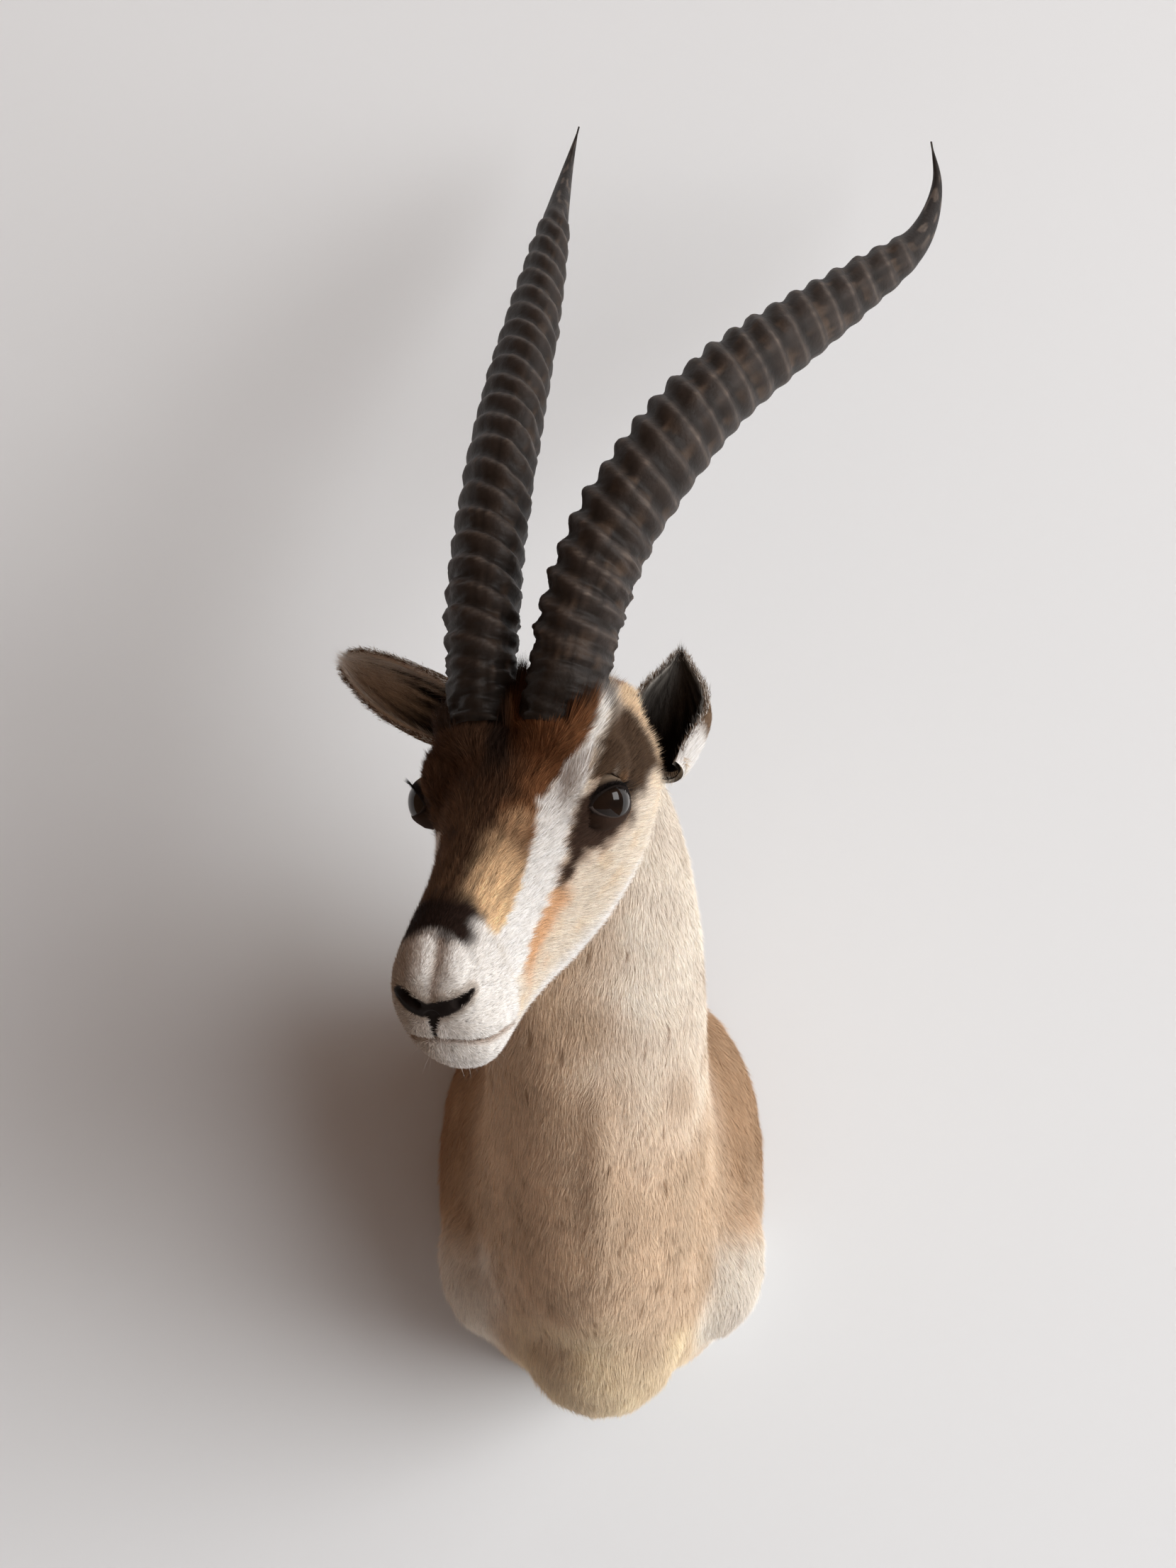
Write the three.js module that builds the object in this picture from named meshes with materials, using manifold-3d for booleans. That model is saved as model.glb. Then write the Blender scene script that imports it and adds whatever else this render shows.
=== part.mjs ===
// A gazelle shoulder mount: the tanned hide of head, neck and shoulders with its ears,
// two ringed horns, two glass eyes and the wooden board that closes the back.
// Millimetres, +Z up. The wall is the plane y = 0, the animal looks along -Y, its left is +X,
// and the origin is the middle of the flat back.
import * as THREE from 'three';
import { mergeVertices } from 'three/addons/utils/BufferGeometryUtils.js';
import Module from 'manifold-3d';

// Driving dimensions
const HEAD_ORIGIN = new THREE.Vector3(-54, -400, 259);  // between the eyes, on the line of the nose
const HEAD_YAW = 22.4;       // degrees that the head turns to the animal's right
const HEAD_PITCH = 38.5;     // degrees that the nose points below the horizontal
const FIT_GAP = 0.35;        // clearance between pieces that touch
const JOIN_TOLERANCE = 0.05; // shorter edges close up where solids are joined or cut

const HEAD_SIDES = 24;
const HEAD_STEPS = 26;
// Places along the nose, with the section's top, widest height, bottom and half width,
// how far the jaw narrows below, and how far the top leans towards the nose
const HEAD_SECTIONS = [
  { at: 171, top: -25, mid: -40, low: -58, half: 11, jaw: 0.0, lean: 0.1 },
  { at: 168, top: -14, mid: -42, low: -76, half: 21, jaw: 0.0, lean: 0.1 },
  { at: 160, top: -6, mid: -45, low: -91, half: 26, jaw: 0.0, lean: 0.1 },
  { at: 147, top: -1, mid: -48, low: -99, half: 28, jaw: 0.0, lean: 0.08 },
  { at: 124, top: 2, mid: -50, low: -102, half: 28, jaw: 0.05, lean: 0.04 },
  { at: 95, top: 3, mid: -52, low: -106, half: 28, jaw: 0.1, lean: 0.0 },
  { at: 64, top: 4, mid: -54, low: -112, half: 33, jaw: 0.1, lean: 0.0 },
  { at: 32, top: 7, mid: -52, low: -120, half: 44, jaw: 0.15, lean: 0.0 },
  { at: 0, top: 11, mid: -48, low: -125, half: 53, jaw: 0.2, lean: 0.0 },
  { at: -32, top: 14, mid: -48, low: -125, half: 56, jaw: 0.2, lean: 0.0 },
  { at: -64, top: 7, mid: -50, low: -121, half: 54, jaw: 0.2, lean: 0.0 },
  { at: -95, top: -7, mid: -52, low: -108, half: 48, jaw: 0.1, lean: 0.0 },
  { at: -120, top: -24, mid: -54, low: -92, half: 38, jaw: 0.0, lean: 0.0 },
  { at: -131, top: -38, mid: -54, low: -74, half: 22, jaw: 0.0, lean: 0.0 },
];
const HEAD_SQUARENESS = 2.3;  // 2 is an ellipse, more is boxier

const BODY_SIDES = 28;
const BODY_STEPS = 18;
// Rings from the throat to the wall: middle, nape point and throat or brisket point as [y, z],
// half width and squareness
const BODY_SECTIONS = [
  { middle: -26, nape: [-322, 299], throat: [-322, 200], half: 44, square: 2.0 },
  { middle: -19, nape: [-284, 293], throat: [-311, 156], half: 58, square: 2.0 },
  { middle: -10, nape: [-235, 268], throat: [-301, 95], half: 64, square: 2.0 },
  { middle: -5, nape: [-186, 232], throat: [-284, 33], half: 67, square: 2.0 },
  { middle: -4, nape: [-138, 190], throat: [-262, -26], half: 68, square: 2.0 },
  { middle: -3, nape: [-92, 160], throat: [-232, -80], half: 70, square: 2.1 },
  { middle: -3, nape: [-56, 142], throat: [-180, -112], half: 75, square: 2.2 },
  { middle: -2, nape: [-26, 130], throat: [-104, -141], half: 92, square: 2.3 },
  { middle: 0, nape: [0, 122], throat: [0, -153], half: 111, square: 2.4 },
];
// The points of the shoulders and the brisket between them, as [x, y, z]
const SHOULDER_PLACE = [70, -58, -62];
const SHOULDER_RADII = [38, 56, 56];
const BRISKET_PLACE = [-1, -110, -98];
const BRISKET_RADII = [55, 86, 62];

const EYE_RADIUS = 16;
const EYE_MERIDIANS = 16;
const EYE_PARALLELS = 11;
const EYE_PLACE = { along: 2, side: 52, height: -23 };
const BROW_PLACE = { along: -8, side: 45, height: -17 };
const BROW_RADII = { along: 36, side: 17, height: 22 };
// The rise of the forehead that each horn stands on
const PEDICLE_PLACE = { along: -28, side: 25, height: 8 };
const PEDICLE_RADII = { along: 32, side: 23, height: 17 };
const LUMP_MERIDIANS = 13;     // of the smaller rounded forms
const LUMP_PARALLELS = 9;

const NOSTRIL_PLACE = { along: 169, side: 17, height: -27 };
const NOSTRIL_RADII = { along: 7, side: 9, height: 3.5 };
const MOUTH_PLACE = { along: 150, side: 0, height: -62 };
const MOUTH_RADII = { along: 24, side: 36, height: 1.4 };

const EAR_ROWS = 9;
const EAR_COLUMNS = 7;
const EAR_THICKNESS = 3.2;
const EAR_RIM = 0.6;           // least inside share of the outside, where the ear is narrow
const EAR_ROOT_SHARE = 0.5;    // width at the root against the widest place
const EAR_WIDEST = 0.45;       // share of the length where the ear is widest
const EAR_TAPER = 0.58;        // share of the length over which it then closes to the tip
const EAR_WRAP_ROOT = 140;     // degrees each side that the ear wraps round its axis at the root
const EAR_WRAP_TIP = 75;       // and at the tip
// Each ear runs from its root to its tip, and opens towards the third vector
const EAR_LEFT = { root: [36, -330, 258], tip: [48, -266, 334], opens: [-0.1, -0.9, 0.4], radius: 24 };
const EAR_RIGHT = { root: [-58, -298, 271], tip: [-162, -272, 327], opens: [-0.1, -1, -0.2], radius: 20 };

const HORN_SIDES = 10;
const HORN_DEPTH = 25.5;        // half of the base, front to back
const HORN_WIDTH = 0.77;       // its side-to-side share of that
const HORN_TURN = 20;          // degrees that the section's long axis turns inwards at the front
const HORN_TAPER = 3.0;         // how late the horn narrows to its point
const HORN_POINT = 0.03;        // share of the base that is left at the point
const RIDGE_COUNT = 23;
const RIDGE_FROM = 0.075;      // share of the length where the ridges start
const RIDGE_TO = 0.85;         // and where the smooth tip starts
const RIDGE_CROWDING = 1.15;   // more than 1 crowds the ridges at the base
const RIDGE_HEIGHT = 3;
const RIDGE_FADE = 0.6;        // how much lower the last ridge is than the first
const RIDGE_CREST = 0.4;       // where the crest and the shoulder above it stand within a ridge
const RIDGE_SHOULDER = 0.65;
const RIDGE_SHOULDER_HEIGHT = 0.8;
const RIDGE_FRONT = 0.35;      // how much of the height only the front of the horn has
const TIP_STEPS = 7;
const HORN_ROOT = 0.075;       // share of the length that sits in the hide
const HORN_LEFT = [
  [-26, -391, 280], [-12, -377, 349], [7, -356, 399], [37, -326, 446], [70, -284, 487],
  [113, -232, 525], [159, -175, 562], [205, -121, 603], [219, -94, 642], [216, -85, 671],
];
const HORN_RIGHT = [
  [-70, -370, 281], [-71, -356, 342], [-68, -334, 387], [-62, -304, 434], [-55, -261, 479],
  [-46, -209, 526], [-37, -152, 576], [-28, -97, 627], [-21, -69, 661], [-15, -60, 685],
];

const BOARD_THICKNESS = 18;
const BOARD_INSET = 12;        // how far the hide wraps round the board's edge
const BOARD_POINTS = 40;

const wasm = await Module();
wasm.setup();

// Solids
function geometryFrom(points, triangles) {
  const geometry = new THREE.BufferGeometry();
  const positions = points.flatMap((point) => [point.x, point.y, point.z]);
  geometry.setAttribute('position', new THREE.Float32BufferAttribute(positions, 3));
  geometry.setIndex(triangles);
  return geometry;
}

function signedVolume(points, triangles) {
  let volume = 0;
  for (let i = 0; i < triangles.length; i += 3) {
    const [a, b, c] = triangles.slice(i, i + 3).map((index) => points[index]);
    volume += a.dot(new THREE.Vector3().crossVectors(b, c)) / 6;
  }
  return volume;
}

// A closed skin through rings of equal point counts; each end is closed by a strip across its ring
function loft(rings) {
  const count = rings[0].length;
  const points = rings.flat();
  const triangles = [];
  for (let row = 0; row + 1 < rings.length; row += 1) {
    for (let column = 0; column < count; column += 1) {
      const next = (column + 1) % count;
      const [a, b] = [row * count + column, row * count + next];
      triangles.push(a, b, b + count, a, b + count, a + count);
    }
  }
  const last = (rings.length - 1) * count;
  for (let step = 0; step + 1 < count / 2; step += 1) {
    const [a, b, c, d] = [step, step + 1, count - 2 - step, count - 1 - step];
    triangles.push(a, d, b);
    triangles.push(last + a, last + b, last + d);
    if (b !== c) {
      triangles.push(b, d, c);
      triangles.push(last + b, last + c, last + d);
    }
  }
  if (signedVolume(points, triangles) < 0) {
    triangles.reverse();
  }
  return geometryFrom(points, triangles);
}

// More rings between the given ones, on smooth curves through their points
function smoothRings(rings, steps) {
  const curves = rings[0].map((_, column) => {
    return new THREE.CatmullRomCurve3(rings.map((ring) => ring[column]));
  });
  const places = Array.from({ length: steps + 1 }, (_, step) => step / steps);
  return places.map((place) => curves.map((curve) => curve.getPoint(place)));
}

function solidFrom(geometry) {
  const bare = geometry.clone();
  bare.deleteAttribute('normal');
  bare.deleteAttribute('uv');
  const merged = mergeVertices(bare, 1e-4);
  const vertProperties = new Float32Array(merged.attributes.position.array);
  const triVerts = new Uint32Array(merged.index.array);
  return new wasm.Manifold(new wasm.Mesh({ numProp: 3, vertProperties, triVerts, tolerance: JOIN_TOLERANCE }));
}

function geometryOf(solid) {
  const mesh = solid.getMesh();
  const geometry = new THREE.BufferGeometry();
  geometry.setAttribute('position', new THREE.Float32BufferAttribute(mesh.vertProperties, 3));
  geometry.setIndex(Array.from(mesh.triVerts));
  geometry.computeVertexNormals();
  return geometry;
}

function named(name, geometry, colour, roughness) {
  const material = new THREE.MeshStandardMaterial({ color: colour, roughness, metalness: 0 });
  const mesh = new THREE.Mesh(geometry, material);
  mesh.name = name;
  return mesh;
}

// The head's own frame: x along the nose, y to the animal's left, z off the face
const yaw = THREE.MathUtils.degToRad(HEAD_YAW);
const pitch = THREE.MathUtils.degToRad(HEAD_PITCH);
const headNose = new THREE.Vector3(
  -Math.sin(yaw) * Math.cos(pitch), -Math.cos(yaw) * Math.cos(pitch), -Math.sin(pitch));
const headLeft = new THREE.Vector3(Math.cos(yaw), -Math.sin(yaw), 0);
const headUp = new THREE.Vector3().crossVectors(headNose, headLeft);
const headFrame = new THREE.Matrix4().makeBasis(headNose, headLeft, headUp).setPosition(HEAD_ORIGIN);

function inHead(along, side, height) {
  return new THREE.Vector3(along, side, height).applyMatrix4(headFrame);
}

function rounded(value, squareness) {
  return Math.sign(value) * Math.abs(value) ** (2 / squareness);
}

function headRing(section) {
  const ring = [];
  for (let step = 0; step < HEAD_SIDES; step += 1) {
    const angle = 2 * Math.PI * (step + 0.5) / HEAD_SIDES;
    const rise = rounded(Math.sin(angle), HEAD_SQUARENESS);
    const reach = rise > 0 ? section.top - section.mid : section.mid - section.low;
    const narrowing = rise > 0 ? 1 : 1 - section.jaw * rise * rise;
    const side = section.half * rounded(Math.cos(angle), HEAD_SQUARENESS) * narrowing;
    const height = section.mid + rise * reach;
    ring.push(inHead(section.at + section.lean * (height - section.mid), side, height));
  }
  return ring;
}

function headEllipsoid(place, radii, mirror) {
  const geometry = new THREE.SphereGeometry(1, LUMP_MERIDIANS, LUMP_PARALLELS);
  geometry.scale(radii.along, radii.side, radii.height);
  geometry.translate(place.along, place.side * mirror, place.height);
  geometry.applyMatrix4(headFrame);
  return solidFrom(geometry);
}

function headSolid() {
  let head = solidFrom(loft(smoothRings(HEAD_SECTIONS.map(headRing), HEAD_STEPS)));
  for (const mirror of [1, -1]) {
    head = head.add(headEllipsoid(BROW_PLACE, BROW_RADII, mirror));
    head = head.add(headEllipsoid(PEDICLE_PLACE, PEDICLE_RADII, mirror));
    head = head.subtract(headEllipsoid(NOSTRIL_PLACE, NOSTRIL_RADII, mirror));
  }
  return head.subtract(headEllipsoid(MOUTH_PLACE, MOUTH_RADII, 1));
}

// Neck and shoulders
function bodyRing(section) {
  const nape = new THREE.Vector3(section.middle, ...section.nape);
  const throat = new THREE.Vector3(section.middle, ...section.throat);
  const ring = [];
  for (let step = 0; step < BODY_SIDES; step += 1) {
    const angle = 2 * Math.PI * (step + 0.5) / BODY_SIDES;
    const rise = rounded(Math.sin(angle), section.square);
    const point = new THREE.Vector3().lerpVectors(throat, nape, (rise + 1) / 2);
    point.x += section.half * rounded(Math.cos(angle), section.square);
    ring.push(point);
  }
  return ring;
}

function bodyEllipsoid([x, y, z], [width, depth, height]) {
  const geometry = new THREE.SphereGeometry(1, LUMP_MERIDIANS, LUMP_PARALLELS);
  geometry.scale(width, depth, height);
  geometry.translate(x, y, z);
  return solidFrom(geometry);
}

function bodySolid() {
  const [x, y, z] = SHOULDER_PLACE;
  const rings = smoothRings(BODY_SECTIONS.map(bodyRing), BODY_STEPS);
  return solidFrom(loft(rings))
    .add(bodyEllipsoid([x, y, z], SHOULDER_RADII))
    .add(bodyEllipsoid([-x, y, z], SHOULDER_RADII))
    .add(bodyEllipsoid(BRISKET_PLACE, BRISKET_RADII));
}

// An ear is a leaf rolled into a cup: a closed crescent section that opens out and ends in a point
function earSolid({ root, tip, opens, radius }) {
  const start = new THREE.Vector3(...root);
  const axis = new THREE.Vector3(...tip).sub(start);
  const length = axis.length();
  axis.normalize();
  const opening = new THREE.Vector3(...opens).projectOnPlane(axis).normalize();
  const across = new THREE.Vector3().crossVectors(axis, opening);
  const rings = [];
  for (let row = 0; row <= EAR_ROWS; row += 1) {
    const place = row / EAR_ROWS;
    const opened = Math.sin(Math.PI / 2 * Math.min(place / EAR_WIDEST, 1));
    const swell = THREE.MathUtils.lerp(EAR_ROOT_SHARE, 1, opened);
    const taper = Math.cos(Math.PI / 2 * Math.max(place - EAR_WIDEST, 0) / EAR_TAPER);
    const outer = radius * swell * taper;
    const inner = Math.max(outer - EAR_THICKNESS, outer * EAR_RIM);
    const spread = THREE.MathUtils.degToRad(THREE.MathUtils.lerp(EAR_WRAP_ROOT, EAR_WRAP_TIP, place));
    const centre = start.clone().addScaledVector(axis, length * place);
    const arcPoint = (size, share) => {
      const angle = spread * share;
      return centre.clone().addScaledVector(across, size * Math.sin(angle))
        .addScaledVector(opening, -size * Math.cos(angle));
    };
    const shares = Array.from({ length: EAR_COLUMNS + 1 }, (_, column) => 2 * column / EAR_COLUMNS - 1);
    const outside = shares.map((share) => arcPoint(outer, share));
    const inside = shares.map((share) => arcPoint(inner, share)).reverse();
    rings.push([...outside, ...inside]);
  }
  return solidFrom(loft(rings));
}

// Horns: each station is a share of the length with the height of the ridge there.
// The ridges stand closer together towards the base.
function hornStations() {
  const stations = [{ place: 0, ridge: 0 }];
  const ridgeStart = (count) => {
    return THREE.MathUtils.lerp(RIDGE_FROM, RIDGE_TO, (count / RIDGE_COUNT) ** RIDGE_CROWDING);
  };
  for (let count = 0; count < RIDGE_COUNT; count += 1) {
    const start = ridgeStart(count);
    const gap = ridgeStart(count + 1) - start;
    const height = RIDGE_HEIGHT * (1 - RIDGE_FADE * count / RIDGE_COUNT);
    stations.push({ place: start, ridge: 0 });
    stations.push({ place: start + gap * RIDGE_CREST, ridge: height });
    stations.push({ place: start + gap * RIDGE_SHOULDER, ridge: height * RIDGE_SHOULDER_HEIGHT });
  }
  for (let step = 0; step <= TIP_STEPS; step += 1) {
    stations.push({ place: THREE.MathUtils.lerp(RIDGE_TO, 1, step / TIP_STEPS), ridge: 0 });
  }
  return stations;
}

// Half depth of the horn without its ridges
function hornHalfDepth(place) {
  return HORN_DEPTH * Math.max(1 - place ** HORN_TAPER, HORN_POINT);
}

function hornRings(path, mirror, stations, extra) {
  const curve = new THREE.CatmullRomCurve3(path.map((point) => new THREE.Vector3(...point)));
  const turn = -THREE.MathUtils.degToRad(HORN_TURN) * mirror;
  return stations.map(({ place, ridge }) => {
    const centre = curve.getPointAt(place);
    const along = curve.getTangentAt(place);
    const side = headLeft.clone().projectOnPlane(along).normalize();
    const front = new THREE.Vector3().crossVectors(side, along);
    front.applyAxisAngle(along, turn);
    side.applyAxisAngle(along, turn);
    const depth = hornHalfDepth(place) + extra;
    const ring = [];
    for (let step = 0; step < HORN_SIDES; step += 1) {
      const angle = 2 * Math.PI * step / HORN_SIDES;
      const swell = ridge * (1 - RIDGE_FRONT + RIDGE_FRONT * Math.cos(angle));
      const point = centre.clone();
      point.addScaledVector(front, (depth + swell) * Math.cos(angle));
      point.addScaledVector(side, (depth * HORN_WIDTH + swell) * Math.sin(angle));
      ring.push(point);
    }
    return ring;
  });
}

function hornGeometry(path, mirror) {
  return loft(hornRings(path, mirror, hornStations(), 0));
}

// The room that a horn's root takes in the hide
function hornRoot(path, mirror) {
  const stations = [0, 0.5, 1].map((share) => ({ place: HORN_ROOT * share, ridge: 0 }));
  return solidFrom(loft(hornRings(path, mirror, stations, FIT_GAP)));
}

function eyeGeometry(mirror, radius) {
  const geometry = new THREE.SphereGeometry(radius, EYE_MERIDIANS, EYE_PARALLELS);
  geometry.translate(EYE_PLACE.along, EYE_PLACE.side * mirror, EYE_PLACE.height);
  return geometry.applyMatrix4(headFrame);
}

// The board follows the outline of the hide at the wall, from y = -front to y = back
function boardGeometry(extra, front, back) {
  const wall = BODY_SECTIONS[BODY_SECTIONS.length - 1];
  const middle = (wall.nape[1] + wall.throat[1]) / 2;
  const halfHeight = (wall.nape[1] - wall.throat[1]) / 2 - BOARD_INSET + extra;
  const halfWidth = wall.half - BOARD_INSET + extra;
  const outline = [];
  for (let step = 0; step < BOARD_POINTS; step += 1) {
    const angle = 2 * Math.PI * step / BOARD_POINTS;
    const across = rounded(Math.cos(angle), wall.square);
    const rise = rounded(Math.sin(angle), wall.square);
    outline.push([halfWidth * across, middle + halfHeight * rise]);
  }
  const ringAt = (y) => outline.map(([x, z]) => new THREE.Vector3(x, y, z));
  return loft([ringAt(-front), ringAt(back)]);
}

function hideGeometry() {
  let hide = bodySolid().add(headSolid());
  hide = hide.add(earSolid(EAR_LEFT)).add(earSolid(EAR_RIGHT));
  for (const mirror of [1, -1]) {
    hide = hide.subtract(solidFrom(eyeGeometry(mirror, EYE_RADIUS + FIT_GAP)));
  }
  hide = hide.subtract(hornRoot(HORN_LEFT, 1)).subtract(hornRoot(HORN_RIGHT, -1));
  const pocket = boardGeometry(FIT_GAP, BOARD_THICKNESS + FIT_GAP, BOARD_THICKNESS);
  return geometryOf(hide.subtract(solidFrom(pocket)));
}

const mount = new THREE.Group();
mount.add(named('hide', hideGeometry(), 0xbf9c78, 0.9));
mount.add(named('horn_left', hornGeometry(HORN_LEFT, 1), 0x3a322d, 0.5));
mount.add(named('horn_right', hornGeometry(HORN_RIGHT, -1), 0x3a322d, 0.5));
mount.add(named('eye_left', eyeGeometry(1, EYE_RADIUS), 0x17100c, 0.05));
mount.add(named('eye_right', eyeGeometry(-1, EYE_RADIUS), 0x17100c, 0.05));
mount.add(named('backboard', boardGeometry(0, BOARD_THICKNESS, 0), 0xa98a63, 0.7));

export default mount;
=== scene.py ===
import math

import bmesh
import bpy
import numpy as np
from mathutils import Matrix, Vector


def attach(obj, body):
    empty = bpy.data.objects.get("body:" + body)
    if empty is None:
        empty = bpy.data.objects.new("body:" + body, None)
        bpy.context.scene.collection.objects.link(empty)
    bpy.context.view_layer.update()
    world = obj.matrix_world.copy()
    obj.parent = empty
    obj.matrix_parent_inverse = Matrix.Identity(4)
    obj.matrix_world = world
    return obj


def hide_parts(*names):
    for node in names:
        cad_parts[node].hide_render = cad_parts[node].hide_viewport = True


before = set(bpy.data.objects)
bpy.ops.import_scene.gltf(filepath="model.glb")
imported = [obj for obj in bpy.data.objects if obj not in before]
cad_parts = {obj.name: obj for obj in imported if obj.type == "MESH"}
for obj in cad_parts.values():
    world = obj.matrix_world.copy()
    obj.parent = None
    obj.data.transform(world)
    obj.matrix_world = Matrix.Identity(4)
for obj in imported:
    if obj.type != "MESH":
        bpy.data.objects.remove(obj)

scene = bpy.context.scene
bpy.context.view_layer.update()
random = np.random.default_rng(12)
MM = 0.001

# The photograph's view
PHOTO_WIDTH = 1659
PHOTO_FOCAL = 5412
SENSOR_WIDTH = 36
CAMERA_PLACE = Vector((-9, -2600, 250)) * MM

# The head's own frame
HEAD_ORIGIN = np.array([-54.0, -400.0, 259.0])
HEAD_YAW = 22.4
HEAD_PITCH = 38.5

# Eyes, in the head's frame: along the nose, to the animal's left, off the face
EYE_PLACE = np.array([2.0, 52.0, -23.0])
EYE_RADIUS = 16.0
EYE_FACING = np.array([0.42, 0.85, 0.30])
EYE_SLANT = 9
EYE_HALF_LENGTH = 14.0
UPPER_LID = 9.0
LOWER_LID = 8.0
LID_POWER = 1.75

# Height of the forehead and the nose along the middle of the face
CROWN_AT = [-120, -95, -64, -32, 0, 32, 64, 95, 124, 147, 160, 168, 171]
CROWN_HEIGHT = [-24, -7, 7, 14, 11, 7, 4, 3, 2, -1, -6, -14, -25]
# Where the cheek and jaw end and the neck starts
JAW_AT = [-131, -88, -60, -20, 25, 65, 116, 171]
JAW_HEIGHT = [-20, -50, -88, -116, -132, -130, -120, -120]

# The middle line of the face, which leans to the animal's left at the nose
MIDDLE_AT = [-31, -13, 9, 32, 54, 78, 101, 158, 172]
MIDDLE_SIDE = [-12, -8, -3, 0, 3, 5, 7, 10, 5]
# Lines of the face in the head's frame, each corner with the line's half width there
FACE_LINES = {
    "nose_pad": [(160, 26, -28, 2.0), (166, 21, -29.5, 4.0), (171, 14, -31, 5.4), (172, 7, -32, 5.8),
                 (172, 1, -33, 5.4), (172, -5, -29, 7.0), (171, -12, -24, 7.2)],
    "nostril_near": [(162, 24, -29, 1.0), (168, 19, -30, 2.6)],
    "nostril_far": [(172, -4, -28, 2.0), (171, -11, -22, 3.0)],
    "nose_groove": [(150, 9, -3, 1.0), (158, 10, -6, 1.0), (169, 8, -15, 1.0), (172, 6, -28, 1.2)],
    "lobe_near": [(150, 18, -8, 1.0), (160, 18, -13, 1.0)],
    "lobe_far": [(155, -2, -3, 1.0), (166, 0, -9, 1.0)],
    "philtrum": [(172, 3, -37, 4.8), (171, 2, -42, 3.2), (170, 0, -49, 1.8), (169, -1, -57, 1.3)],
    "mouth": [(160, -22, -60, 0.6), (168, -13, -57, 0.8), (169, -1, -57, 1.0), (168, 10, -58, 1.0),
              (163, 19, -63, 0.9), (146, 25, -72, 0.7), (125, 23, -83, 0.5)],
    "upper_lip": [(169, -10, -47, 1.0), (170, 8, -47, 1.0), (162, 24, -51, 1.0), (146, 28, -60, 1.0)],
    "lower_lip": [(165, -8, -68, 1.0), (165, 6, -69, 1.0), (158, 17, -74, 1.0)],
}
# Relief of those lines: how far the skin rises, the gap that still has it all and the gap that ends it
FACE_RELIEF = [
    (("lobe_near", "lobe_far"), 2.2, 1, 9),
    (("nose_groove",), -1.4, -1, 7),
    (("nose_pad",), 1.4, 0, 6),
    (("nostril_near", "nostril_far"), -5.0, -1.5, 1.6),
    (("philtrum",), -1.6, -1.5, 1.0),
    (("mouth",), -2.6, -0.5, 2.4),
    (("upper_lip",), 2.2, 1, 9),
    (("lower_lip",), 2.0, 1, 8),
]
# The dark patch under the eye and its tear line: along the nose, girth round the face, half width
TEAR_LINE = [(-12, 94, 8), (3, 87, 11), (14, 78, 13), (25, 72, 11), (31, 71, 9), (38, 74, 5.5),
             (46, 73.5, 4.5), (54, 72, 3)]
# Girth of the white stripe's inner and outer edge along the nose
STRIPE_INNER_AT = [-60, -31, -9, 7, 33, 54, 73, 102, 121]
STRIPE_INNER = [40, 42, 47, 41, 35, 40, 45, 48, 47]
STRIPE_OUTER_AT = [-52, -10, 8, 32, 52, 63, 77, 102]
STRIPE_OUTER = [50, 55, 59, 62, 70, 70, 70, 75]
# How far the dark hair round the eye reaches, as a lid measure, by the turn from the front corner
EYE_RIM_TURN = [-180, -135, -90, -45, 0, 45, 90, 135, 180]
EYE_RIM_REACH = [1.35, 1.6, 1.8, 1.9, 1.6, 1.45, 1.45, 1.4, 1.35]

# The lids' section: lid measure and height over the ball
LID_PROFILE = [(0.92, -0.8), (0.95, 0.3), (0.985, 0.7), (1.03, 0.95), (1.1, 1.0), (1.25, 0.95), (1.5, 0.8),
               (1.8, 0.7), (2.2, 0.5)]
LID_COLUMNS = 120
EYE_RINGS = 40
EYE_SIDES = 64
CORNEA_RISE = 0.6
PUPIL_HALF_LENGTH = 6.5
PUPIL_HALF_HEIGHT = 3.6

# Ears, close to the solids' own: root, tip, the way the cup opens, its radius, how soon it narrows and
# how pale it is inside
# The left ear's low paleness keeps its cup nearly black inside, as painted shade.
EAR_LEFT = {"root": (36, -330, 258), "tip": (47, -268, 330), "opens": (-0.1, -0.9, 0.4),
            "radius": 23, "taper": 1.0, "paleness": 0.1}
EAR_RIGHT = {"root": (-58, -298, 271), "tip": (-157, -272, 325), "opens": (0.25, -1, -0.2),
             "radius": 20, "taper": 0.45, "paleness": 1.5}
EAR_THICKNESS = 3.2
EAR_ROWS = 40
EAR_COLUMNS = 28
EAR_WIDEST = 0.45
EAR_CLOSES = 0.58
EAR_WRAP_ROOT = 140
EAR_WRAP_TIP = 75

# Horns: middle line from root to tip, as in the solids
HORN_LEFT = [
    (-26, -391, 280), (-12, -377, 349), (7, -356, 399), (37, -326, 446), (70, -284, 487),
    (113, -232, 525), (159, -175, 562), (205, -121, 603), (219, -94, 642), (216, -85, 671)]
HORN_RIGHT = [
    (-70, -370, 281), (-71, -356, 342), (-68, -334, 387), (-62, -304, 434), (-55, -261, 479),
    (-46, -209, 526), (-37, -152, 576), (-28, -97, 627), (-21, -69, 661), (-15, -60, 685)]
HORN_DEPTH = 25.5
HORN_WIDTH = 0.77
HORN_TURN = 20
HORN_TAPER = 3.0
HORN_POINT = 0.03
HORN_CLEAR = 0.105
HORN_STATIONS = 390
HORN_SIDES = 48
RIDGE_COUNT = 26
RIDGE_FROM = 0.0
RIDGE_TO = 0.85
RIDGE_CROWDING = 1.3
RIDGE_HEIGHT = 4.6
RIDGE_SLANT = 0.55

# The soft ridge down the neck's front
NECK_RIDGE = [(-1, -300, 60, 0.0), (-1, -270, 0, 0.0), (-1, -230, -66, 0.0)]

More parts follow.
